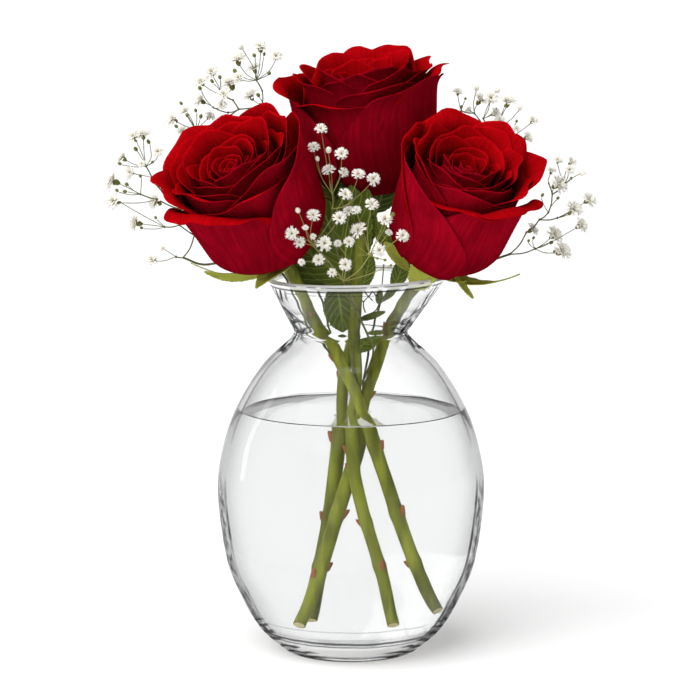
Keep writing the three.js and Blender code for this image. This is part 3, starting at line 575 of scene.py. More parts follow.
def petal_points(opened, turn, seed, wide=1.0, tall=1.0, lip=None, apart=0.0):
    """One petal as a grid of points, root to lip by side to side. Its slope runs from root to
    lip along its length and is summed into radius and height; it wraps round the axis by its
    width over its radius; its lip comes to a soft point, waves, crinkles and rolls outwards."""
    def pick(values):
        return np.interp(opened, OPEN, values)

    def vary(k):
        return math.sin(seed * 12.9898 + k * 78.233)  # from -1 to 1, different for each k

    s = (np.linspace(0, 1, PETAL_ROWS) ** 0.8)[:, None]
    side = np.linspace(-1, 1, PETAL_COLUMNS)[None, :]
    q = (np.arange(STEPS + 1) / STEPS)[:, None]
    length = pick(LENGTH) * tall * (1 + 0.03 * vary(1))
    slopes = [math.radians(pick(v)) for v in (SLOPE_ROOT, SLOPE_BELLY, SLOPE_NECK, SLOPE_LIP)]
    if lip is not None:
        slopes[3] = math.radians(lip)
    fold = 0.83 - 0.14 * opened * np.abs(side) ** 1.2 + 0.02 * vary(2)
    curl = (slopes[3] - slopes[2]) * (0.75 + 0.55 * np.abs(side) * opened)
    slope = (slopes[0] + (slopes[1] - slopes[0]) * smooth(q / 0.38)
             + (slopes[2] - slopes[1]) * smooth((q - 0.38) / 0.37)
             + curl * smooth((q - fold) / (1 - fold) * 0.9))
    step = length / STEPS
    radius = pick(ROOT_RADIUS) + np.vstack([0 * side, np.cumsum(np.cos(slope[1:]) * step, axis=0)])
    height = np.vstack([0 * side, np.cumsum(np.sin(slope[1:]) * step, axis=0)])

    reach = 1 - (0.13 + 0.07 * opened) * np.abs(side) ** 2.2 - 0.1 * np.abs(side) ** 6
    reach = reach + 0.035 * opened * (np.exp(-((side - 0.15 * vary(6)) / 0.16) ** 2) - 1)
    reach = reach + 0.010 * opened * np.sin(side * 9 + seed * 3) * (1 - side ** 4)
    at = s * np.minimum(reach, 1) * STEPS
    k = np.minimum(at.astype(int), STEPS - 1)
    column = np.broadcast_to(np.arange(PETAL_COLUMNS), k.shape)
    r = radius[k, column] + (radius[k + 1, column] - radius[k, column]) * (at - k)
    z = height[k, column] + (height[k + 1, column] - height[k, column]) * (at - k)
    middle = radius[:, PETAL_COLUMNS // 2]
    shape = 0.16 + 0.84 * np.sin(math.pi * s ** 0.85 * 0.62)
    girth = np.maximum(np.interp(s * STEPS, np.arange(STEPS + 1), middle), 2.2)
    wrap = np.minimum(pick(HALF_WIDTH) * wide * shape / girth, 2.9)
    angle = turn + side * wrap + 0.1 * vary(3) * s
    r = r + pick(TUCK) * side * smooth(s / 0.5) + apart * smooth(s / 0.4)
    r = r * (1 + 0.1 * opened * (1 / np.cos(np.clip(side * wrap, -1.1, 1.1) * 0.5) - 1))
    wave = smooth((s - 0.55) / 0.45)
    r = r + wave * (0.3 + 1.5 * opened) * 0.8 * np.sin(side * 4.2 + vary(4) * 3 + seed)
    z = z + wave * (0.3 + 1.8 * opened) * 0.8 * np.sin(side * 3.1 + vary(5) * 3 + seed * 2)
    crinkle = wave ** 3 * (0.15 + 0.45 * opened)
    r = r + crinkle * np.sin(side * 10.5 + seed * 5)
    z = z + crinkle * np.sin(side * 8.3 + seed * 4)
    return np.stack([r * np.cos(angle), r * np.sin(angle), z], axis=2)


def bloom_sheets(bloom):
    """The grids of all of a bloom's petals, in place."""
    axes = axes_of(bloom["lean"], bloom["spin"]) * bloom["scale"]
    for i in range(INNER_PETALS):
        opened = 0.86 * (i / (INNER_PETALS - 1)) ** 0.85
        sheet = petal_points(opened, i * GOLDEN + bloom["seed"], bloom["seed"] + i * 1.7)
        yield sheet @ axes.T + bloom["root"]
    for i, (direction, opened, *form) in enumerate(bloom["outer"]):
        seed = bloom["seed"] + (INNER_PETALS + i) * 1.7
        sheet = petal_points(opened, math.radians(direction), seed, *form)
        yield sheet @ axes.T + bloom["root"]


def shell(sheet, thick):
    """A closed shell round a grid of points: one copy of the grid on each side of it, half of
    thick away along its normal, joined round the edge. Returns vertices, faces and, for each
    vertex, three marks: its share down the grid, its share across it, and 1 on the back."""
    n, m = sheet.shape[:2]
    normal = unit(np.cross(np.gradient(sheet, axis=0), np.gradient(sheet, axis=1)))
    offset = normal * np.broadcast_to(thick, (n, m))[..., None] / 2
    vertices = np.concatenate([(sheet + offset).reshape(-1, 3), (sheet - offset).reshape(-1, 3)])
    grid = np.arange(n * m).reshape(n, m)
    a, b, c, d = grid[:-1, :-1], grid[:-1, 1:], grid[1:, 1:], grid[1:, :-1]
    front = np.stack([a, d, c, b], axis=2).reshape(-1, 4)
    back = np.stack([a, b, c, d], axis=2).reshape(-1, 4) + n * m
    loop = np.concatenate([grid[:-1, 0], grid[-1, :-1], grid[:0:-1, -1], grid[0, :0:-1]])
    after = np.roll(loop, -1)
    rim = np.stack([after, loop, loop + n * m, after + n * m], axis=1)
    down, over = np.meshgrid(np.linspace(0, 1, n), np.linspace(0, 1, m), indexing="ij")
    marks = np.stack([np.tile(down.ravel(), 2), np.tile(over.ravel(), 2),
                      np.repeat([0.0, 1.0], n * m)], axis=1)
    return vertices, np.concatenate([front, back, rim]).tolist(), marks


def joined(parts):
    """Several parts, each of vertices, faces and marks, as one."""
    vertices, faces, marks = [], [], []
    count = 0
    for part_vertices, part_faces, part_marks in parts:
        vertices.append(part_vertices)
        faces.extend([tuple(i + count for i in face) for face in part_faces])
        marks.append(part_marks)
        count += len(part_vertices)
    return np.concatenate(vertices), faces, np.concatenate(marks)


def marked_object(name, parts, material):
    """One object of several parts, in millimetres, whose marks go to the attribute "marks"."""
    vertices, faces, marks = joined(parts)
    thing = new_object(name, vertices * MM, faces)
    layer = thing.data.attributes.new("marks", "FLOAT_COLOR", "POINT")
    padded = np.ones((len(marks), 4))
    padded[:, :marks.shape[1]] = marks
    layer.data.foreach_set("color", padded.ravel())
    thing.data.materials.append(material)
    return thing


def marks_of(add):
    """The three marks of a point, and its place."""
    marks = add("SeparateColor", {0: add("Attribute", out="Color", attribute_name="marks")})
    return *marks.node.outputs, add("TexCoord", out="Object")


def matt(add, colour, roughness, gloss, grain, strength, depth):
    """A matt surface with its grain raised by strength over a depth."""
    bump = add("Bump", {"Strength": strength, "Distance": depth, "Height": grain})
    return add("BsdfPrincipled", {"Base Color": colour, "Roughness": roughness,
                                  "Specular IOR Level": gloss, "Normal": bump})


def petal_material():
    """Velvet red. The inner face is a pure deep red and the back a cooler crimson. Both have
    painted shade that darkens them towards the root, deep in the bloom, a painted highlight
    that makes them a little lighter at the very edge, and fine veins that fan out from the root.
    The backs have more painted shade where they stand further back in the bunch."""
    add, finish = new_material("rose_petal")
    down, over, back, place = marks_of(add)
    tone = blend(add, back, PETAL_INSIDE, PETAL_BACK)
    # painted shade: the backs darken towards the root and further back in the bunch, the inner faces
    # towards the root
    rearward = add("SeparateXYZ", {0: place}, out=1)
    painted_back_shade = product(add, spread(add, down, 0.15, 0.75, 0.60, 1.0),
                     spread(add, rearward, -0.03, -0.008, 1.0, 0.80))
    depth = add("Mix", {0: back, 2: spread(add, down, 0.45, 0.97, 0.38, 1.0), 3: painted_back_shade})
    fan = add("CombineXYZ", {0: over, 1: down, 2: back})
    vein = noise(add, fan, 1.0, 4.0, stretch=(46, 2.2, 9))
    share = product(add, depth, spread(add, noise(add, place, 55.0, 4.0), 0.3, 0.7, 0.74, 1.16),
                    spread(add, vein, 0.3, 0.7, 0.76, 1.16),
                    # painted highlight at the very edge
                    spread(add, down, 0.975, 1.0, 1.0, 1.2))
    colour = add("Mix", {0: 1.0, 6: tone, 7: share}, out=2, data_type="RGBA",
                 blend_type="MULTIPLY")
    return finish(matt(add, colour, 0.6, 0.0, vein, 0.35, 0.0006))


velvet = petal_material()
rows = np.linspace(0, 1, PETAL_ROWS)[:, None] ** 0.8
thick = PETAL_THICK[0] + (PETAL_THICK[1] - PETAL_THICK[0]) * rows
for place, bloom in BLOOMS.items():
    flower = marked_object(f"rose_{place}", [shell(sheet, thick) for sheet in bloom_sheets(bloom)],
                           velvet)
    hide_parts(f"bloom_{place}")
    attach(flower, "root")


# ---------------------------------------------------------------------------------------
# The rose stems: from the swelling under each bloom, through the neck of the vase, to a
# slanting cut end near its floor or wall. Each has buds at its nodes and a ring of sepals.
STEM_RADIUS = ((0, 0.07, 0.14, 0.7, 1), (4.1, 3.9, 3.3, 3.0, 2.9))  # by the share along it
STEM_SIDES, STEM_STEP = 28, 1.2
CURVE_POINTS = 600               # that a stem's smooth curve is worked out in
CUT_SLANT, CUT_RINGS = 0.5, 6
SEPAL_ROWS, SEPAL_COLUMNS, SEPAL_THICK = 26, 9, 0.6
LEAF_ROWS, LEAF_COLUMNS, LEAF_TEETH = 73, 15, 14
SKIN_DARK, SKIN_LIGHT = (0.085, 0.095, 0.011), (0.205, 0.232, 0.026)
SCAR, SEPAL_GREEN = (0.060, 0.045, 0.010), (0.300, 0.320, 0.045)
BUD_BROWN, PITH = (0.22, 0.085, 0.035), (0.66, 0.60, 0.30)
SEPAL, BUD, CUT = 0.2, 0.5, 1.0  # kinds of surface on a stem, besides 0 for its skin
# the swelling under a bloom, as an outline from its foot to its top
SWELLING = [(0, -12.5), (3.6, -12.3), (4.4, -10.5), (5.6, -8.2), (7.3, -5.6), (7.6, -3.4),
            (7.0, -1.6), (0, -1.4)]
SWELLING_SIDES = 40
STEM_START = 5                   # how far under its bloom's root a stem starts
BUD_LENGTH, BUD_WIDTH, BUD_SIDES, BUD_RINGS = 4.2, 1.45, 10, 9
NODE_RING = (0.35, 2.6)          # the ring on a stem at each bud: how thick, and how far it runs
LEAF_QUILTS = 7                  # the soft swells between a leaf's side veins
STEMS = {
    "left": {
        "path": [(-35.5, -2.5, 215.5), (-31, 0.5, 207), (-27.2, 0, 199), (-21.2, -4, 184.5),
                 (-11.5, -7.5, 172), (-5, -9, 159), (1, -10, 147), (6, -9.5, 134), (8.3, -8.5, 120),
                 (11.4, -7, 107.5), (15.4, -6, 93.4), (20.1, -5.5, 77.4), (25.3, -5.5, 59.8),
                 (31.0, -6, 43.9), (38.6, -7.5, 29.5)],
        # height, direction in degrees (270 is the front) and size of each bud
        "buds": [(186, 285, 0.8), (164, 190, 0.9), (112, 350, 1.0), (80, 335, 1.1), (55, 185, 0.9)],
        # direction, bend, length, lift and width of each sepal, in the bloom's own turn
        "sepals": [(215, -26, 41, 30, 5), (330, 10, 22, -4, 8),
                   (60, 0, 26, -6, 7), (130, 0, 30, 4, 7)],
        # drooping sepals: root, tip, width, the way the face looks, and the arch
        "drooping": [((-33, -10, 215), (-51, -34, 205), 10, (-0.3, -1, 0.7), 3),
                     ((-42, -20, 213), (-79, -26, 213), 6, (0, -0.8, -0.6), 4)],
    },
    "right": {
        "path": [(42, -2, 211.5), (34.5, 0, 202), (26, 2, 186), (20.6, 4, 176), (16.5, 6, 164),
                 (11.5, 6.5, 150), (7.5, 7, 137), (5.6, 6.7, 124), (3.0, 6, 109), (-1.6, 3.5, 92),
                 (-6.4, -0.5, 76.5), (-10.0, -3, 62), (-13.8, -5.4, 48), (-17.8, -7.6, 35.5),
                 (-22.4, -9.4, 23.5)],
        "buds": [(178, 180, 0.8), (141, 355, 1.0), (79, 350, 1.0), (48, 225, 1.1)],
        "sepals": [(318, 30, 43, 15, 7.5), (300, 22, 21, 3.5, 4),
                   (30, 0, 28, 2, 7), (110, 0, 26, -4, 7)],
        "drooping": [((34, -18, 203), (46, -40, 228), 16, (0.1, -1, 0.1), 1),
                     ((31, -8, 212), (18, -8, 227), 7, (0, -1, 0.5), 1),
                     ((56, -16, 210), (66, -22, 198), 2.5, (0, -1, 0.2), 0.5)],
    },
    "back": {
        "path": [(12.3, 41.5, 244), (9.5, 41, 234), (5, 33, 220), (3.5, 24, 205), (3, 17, 191),
                 (2, 11, 177), (-0.4, 7.5, 165), (-4, 5.5, 152), (-5, 4.5, 135), (-4.9, 5.5, 115),
                 (-6.5, 8, 95), (-8.4, 10, 77), (-10.6, 11, 61), (-13.0, 11.8, 44),
                 (-15.6, 12, 26)],
        "buds": [(152, 175, 0.8), (113, 190, 1.1), (76, 190, 0.9), (51, 345, 1.1)],
        "sepals": [(250, 0, 28, -8, 8), (325, 0, 26, -6, 7), (40, 0, 30, 2, 7), (110, 0, 28, 0, 7),
                   (180, 0, 26, -6, 8)],
        "drooping": [],
    },
}


def tube(line, radius, sides, kind=0.0, across=(0, 1, 0)):
    """A closed tube round a line of points: at each one a ring of the given radius, square to
    the line, and a flat cap at both ends. Its marks are the share along it, the share round
    it, and kind."""
    along = unit(np.gradient(line, axis=0))
    u = unit(np.cross(along, across))
    v = np.cross(along, u)
    turn = np.arange(sides)[:, None] * 2 * math.pi / sides
    radius = np.broadcast_to(radius, (len(line),))[:, None, None]
    rings = line[:, None] + radius * (u[:, None] * np.cos(turn) + v[:, None] * np.sin(turn))
    vertices = np.concatenate([rings.reshape(-1, 3), line[:1], line[-1:]])
    down = np.append(np.repeat(np.linspace(0, 1, len(line)), sides), [0, 1])
    over = np.append(np.tile(np.abs(np.arange(sides) / sides - 0.5) * 2, len(line)), [0, 0])
    marks = np.stack([down, over, np.full(len(vertices), kind)], axis=1)
    return vertices, ring_faces(len(line), sides), marks


def cut_tube(line, radius, sides, slant, pith):
    """A tube whose last end is cut on a slant that faces the front, with a face of the kind
    pith: each of the last rings is slid along the stem by slant for each unit that its points
    lie forward or back of the line, little at first and in full at the end."""
    line = np.vstack([line, line[-1:] + (line[-1] - line[-2]) * 0.02])
    radius = np.append(radius, radius[-1] * 0.8)
    vertices, faces, marks = tube(line, radius, sides)
    down = unit(line[-2] - line[-12])  # the stem's direction over its last ten steps
    last = len(vertices) - 2
    ends = np.r_[last - CUT_RINGS * sides:last, last + 1]
    share = np.append(np.repeat(np.linspace(0, 1, CUT_RINGS) ** 2, sides), 1.0)
    depth = vertices[ends] - line[-1]
    vertices[ends] += np.outer(share * slant * depth[:, 1], down)
    marks[last - sides:last, 2] = pith
    marks[last + 1, 2] = pith
    return vertices, faces, marks


def bud_at(foot, out, up, length, width, kind):
    """A bud: a small closed cone that leans along a stem and out from it, round at its tip."""
    share = np.linspace(0, 1, BUD_RINGS)
    line = foot + np.outer(share * length, up) + np.outer(share ** 1.4 * length * 0.5, out)
    radius = width * np.sqrt(np.clip(1 - share ** 1.6, 0.004, 1))
    return tube(line, radius, BUD_SIDES, kind, across=np.cross(up, out))


def blade(direction, bend, length, lift, width):
    """A sepal as a grid of points: it leaves the swelling level, sags and lifts along its
    length, turns by bend, narrows to a point, and is folded a little along its rib."""
    s = np.linspace(0, 1, SEPAL_ROWS)[:, None]
    side = np.linspace(-1, 1, SEPAL_COLUMNS)[None, :]
    angle = np.radians(direction + bend * s)
    r = 4 + length * s
    z = -4 - 3 * np.sin(math.pi * s) + lift * s * s
    half = (width * np.sin(np.clip(0.22 + s, 0, 1) * math.pi) ** 0.8 * (1 - 0.35 * s) + 0.7) / 2
    half = half * (1 + 0.08 * np.sin(s * 40))
    x = r * np.cos(angle) - side * half * np.sin(angle)
    y = r * np.sin(angle) + side * half * np.cos(angle)
    return np.stack([x, y, z + side * half * 0.25 + np.abs(side) * half * 0.35], axis=2)


def leaf_sheet(root, tip, width, facing, arch):
    """A leaf or a broad sepal as a grid of points: a pointed oval whose edge is sawn, folded
    along its rib, arched along its length and quilted between its side veins."""
    root, tip = np.array(root, dtype=float), np.array(tip, dtype=float)
    rib = tip - root
    sideways = unit(np.cross(rib, facing))
    face = unit(np.cross(sideways, rib))
    s = np.linspace(0, 1, LEAF_ROWS)[:, None]
    side = np.linspace(-1, 1, LEAF_COLUMNS)[None, :]
    tooth = 1 - 0.13 * ((s * LEAF_TEETH) % 1) * np.abs(side) ** 4 * np.sin(math.pi * s) ** 0.3
    half = 0.35 + width / 2 * np.sin(math.pi * s ** 0.8) ** 0.85
    out = side * half * tooth
    forward = np.abs(side) ** 1.5 * 0.10 * np.sin(math.pi * s)
    swell = np.sin((s - 0.22 * np.abs(side)) * 2 * math.pi * LEAF_QUILTS)
    quilt = 0.35 * swell * np.sin(math.pi * np.abs(side))
    lift = arch * np.sin(math.pi * s) + np.abs(out) * 0.32 + quilt
    return (root + (s + forward)[..., None] * rib + out[..., None] * sideways
            + lift[..., None] * face)


def of_kind(part, kind):
    """The same part, all of one kind of surface."""
    part[2][:, 2] = kind
    return part


def by_kind(add, kind, colour, others):
    """A surface's colour, turned into each other one where its kind goes from start to stop."""
    for start, stop, other in others:
        colour = blend(add, spread(add, kind, start, stop), colour, other)
    return colour


def stem_material():
    """Fresh yellow-green skin with olive streaks along it, and brown scars in the neck of the
    vase. Buds are red-brown, sepals a light green, and the cut end is pale."""
    add, finish = new_material("rose_stem")
    kind, place = marks_of(add)[2:]
    patch = noise(add, place, 38.0, 3.0)
    streaks = total(add, noise(add, place, 1.0, 4.0, stretch=(260, 260, 26)), patch)
    skin = blend(add, spread(add, streaks, 0.82, 1.22), SKIN_DARK, SKIN_LIGHT)
    height = add("SeparateXYZ", {0: place}, out=2)
    scarred = product(add, within(add, height, (0.171, 0.178), (0.191, 0.184)),
                      ramp(add, patch, 0.40, 0.56), 0.8)
    colour = by_kind(add, kind, blend(add, scarred, skin, SCAR), [
        (0.05, 0.15, SEPAL_GREEN), (0.25, 0.45, BUD_BROWN), (0.75, 0.95, PITH)])
    return finish(matt(add, colour, 0.5, 0.12, streaks, 0.3, 0.0004))


def with_nodes(line, radius, buds):
    """The stem's radius with a soft ring at each bud's height."""
    thick, reach = NODE_RING
    for height, _, size in buds:
        radius = radius + thick * size * np.exp(-((line[:, 2] - height) / reach) ** 2)
    return radius


def buds_on(line, radius, buds, kind):
    """A bud on the skin of a stem at each height, facing its direction."""
    along = unit(np.gradient(line, axis=0))
    for height, direction, size in buds:
        k = int(np.argmin(np.abs(line[:, 2] - height)))
        up = along[k] * np.sign(along[k, 2])
        turn = math.radians(direction)
        out = np.array([math.cos(turn), math.sin(turn), 0])
        out = unit(out - up * (out @ up))
        foot = line[k] + out * (radius[k] - 1.0 * size) - up * 1.4 * size
        yield bud_at(foot, out, up, BUD_LENGTH * size, BUD_WIDTH * size, kind)


stem_skin = stem_material()
for place, stem in STEMS.items():
    bloom = BLOOMS[place]
    axes = axes_of(bloom["lean"], bloom["spin"])
    top = np.array(bloom["root"]) - STEM_START * axes[:, 2]
    line = spline([top, *stem["path"]], CURVE_POINTS)
    length = np.linalg.norm(np.diff(line, axis=0), axis=1).sum()
    line = even(line, int(length / STEM_STEP))
    share = np.linspace(0, 1, len(line))
    radius = with_nodes(line, np.interp(share, *STEM_RADIUS), stem["buds"])
    parts = [cut_tube(line, radius, STEM_SIDES, CUT_SLANT, CUT)]
    parts += buds_on(line, radius, stem["buds"], BUD)
    vertices, faces = lathe(SWELLING, SWELLING_SIDES)
    parts.append((vertices @ axes.T + bloom["root"], faces, np.zeros_like(vertices)))
    sheets = [blade(*sepal) @ axes.T + bloom["root"] for sepal in stem["sepals"]]
    sheets += [leaf_sheet(*sepal) for sepal in stem["drooping"]]
    parts += [of_kind(shell(sheet, SEPAL_THICK), SEPAL) for sheet in sheets]
    stalk = marked_object(f"rose_stem_{place}", parts, stem_skin)
    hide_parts(f"stem_{place}")
    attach(stalk, "root")


# ---------------------------------------------------------------------------------------
# The leafy shoot: one more stem in the water, which carries no bloom, with saw-edged leaves
# that sit in the neck of the vase and fill the gap between the blooms.
SHOOT_PATH = [(4.6, -11, 236), (4.6, -9, 218), (2.9, -5, 200), (1.4, -3, 184), (2.2, -2.2, 168),
              (3.2, -2.2, 154), (2.4, -2, 142), (0, -1.4, 130), (0.2, -2.0, 118), (0.6, -3, 107),
              (1.6, -4.4, 96), (4.5, -6, 83), (8.0, -7.6, 70), (11.4, -9.3, 57), (14.5, -10.9, 44),
              (18.6, -12.8, 24)]
SHOOT_RADII = (2.2, 3.1, 3.3, 3.4, 3.3, 3.1, 2.8, 2.7, 2.7, 2.7, 2.7, 2.7, 2.7, 2.7, 2.7)
SHOOT_POINTS, SHOOT_SIDES = 200, 22
LEAF_THICK = 0.5
LEAF_DARK, LEAF_LIGHT = (0.026, 0.042, 0.005), (0.090, 0.120, 0.014)
LEAF_VEIN = (0.15, 0.18, 0.035)
SHOOT_BUDS = [(109, 190, 0.9), (102, 200, 0.6), (76, 185, 0.8), (54, 300, 1.1)]
# root, tip, width, the way its face looks, and how far it arches
LEAVES = [
    ((-8, -4, 206), (-4.4, -3, 177), 19, (0.1, -1, 0.1), 1.5),
    ((1, -6, 204), (-28, -2, 223), 20, (-0.2, -1, 0.4), 3),
    ((-1, -8, 210), (-18, 2, 251), 21, (-0.1, -1, 0.2), 3),
    ((3, -9, 212), (0, 4, 257), 23, (-0.1, -1, 0.1), 2),
    ((4, -9, 214), (9, 5, 255), 14, (0.1, -1, 0.1), 2),
    ((23, -6, 221), (12, -4, 239), 9, (0.2, -1, 0.2), 1),
    ((6, -7, 201), (11, -8, 221), 9, (0, -1, 0.1), 1),
    ((23, -3, 200), (31, -7, 221), 9, (0, -1, 0.1), 1),
    ((17.5, 4, 193), (24.5, 6, 202), 4, (0, -1, 0.1), 0.5),
    ((6, 4, 182), (19, 6, 186.5), 3.5, (0, -1, 0.3), 0.5),
    ((15, 5, 191), (16, 5, 201), 3.5, (0, -1, 0.1), 0.5),
    ((3, -2.8, 165), (17, -6, 178), 10, (0.1, -1, 0.4), 2),
    ((-12, 6, 200), (-31, 8, 226), 22, (-0.2, -1, 0.2), 2),
    ((-3, 18, 234), (-16, 12, 267), 24, (-0.1, -1, 0.1), 2),
    ((14, 28, 240), (21, 12, 266), 17, (0.1, -1, 0.1), 2),
    ((-0.5, -7.5, 211), (-16, 22, 238), 18, (0.1, -0.5, 0.9), 3),
]


def leaf_material():
    """Deep green in patches, with a light rib and side veins that slant from it to the edge."""
    add, finish = new_material("rose_leaf")
    down, over, _, place = marks_of(add)
    away = add("Math", {0: minus(add, over, 0.5)}, operation="ABSOLUTE")
    slant = add("Math", {0: away, 1: -0.44, 2: down}, operation="MULTIPLY_ADD")
    wave = add("Math", {0: product(add, slant, 44.0)}, operation="SINE")
    vein = most(add, spread(add, wave, 0.86, 1.0), spread(add, away, 0.05, 0.015))
    blotch = noise(add, place, 70.0, 5.0)
    colour = blend(add, vein, blend(add, blotch, LEAF_DARK, LEAF_LIGHT), LEAF_VEIN)
    return finish(matt(add, colour, 0.5, 0.12, blotch, 0.35, 0.0005))


line = even(spline(SHOOT_PATH, CURVE_POINTS), SHOOT_POINTS)
share = np.linspace(0, 1, len(line))
radius = np.interp(share, np.linspace(0, 1, len(SHOOT_RADII)), SHOOT_RADII)
radius = with_nodes(line, radius, SHOOT_BUDS)
parts = [cut_tube(line, radius, SHOOT_SIDES, CUT_SLANT, CUT)]
parts += buds_on(line, radius, SHOOT_BUDS, BUD)
shoot = marked_object("leafy_shoot", parts, stem_skin)
parts = [shell(leaf_sheet(*leaf), LEAF_THICK) for leaf in LEAVES]
leaves = marked_object("shoot_leaves", parts, leaf_material())
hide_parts("leaf_shoot")
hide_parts("leaf_shoot")
for thing, finish_slot in ((shoot, "stems"), (leaves, "leaves")):
    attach(thing, "root")


# ---------------------------------------------------------------------------------------
# The baby's breath: seven wiry sprays. Each forks at small knots into hair-thin stalks, and
# each stalk ends in a floret of narrow ruffled petals in a green cup, or in a closed bud.
WIRE = (0.62, 0.36, 0.22)        # radius of a spray's stem, its branches and its stalks
# each ring of a floret: petals, their reach, their rise in degrees, and how far it is turned
FLORET_RINGS = [(9, 3.9, 8, 0.0), (9, 3.7, 36, 0.35), (7, 3.2, 62, 0.1)]
FLORET_WIDTH, FLORET_THICK = 1.45, 0.13
# the radius at which a floret in the lists below has just these sizes
OUTER_RADIUS, CENTRE_RADIUS = 2.6, 3.9
EYE_OUTLINE = [(0, 0.2), (0.5, 0.35), (0.42, 0.8), (0, 0.95)]
TWIG_DARK, TWIG_LIGHT = (0.045, 0.055, 0.016), (0.145, 0.150, 0.045)
STALK_PALE, CUP_GREEN, EYE_GREEN = (0.26, 0.25, 0.08), (0.16, 0.17, 0.045), (0.20, 0.19, 0.07)
CHALK_ROOT, CHALK_TIP = (0.76, 0.73, 0.58), (0.98, 0.965, 0.93)
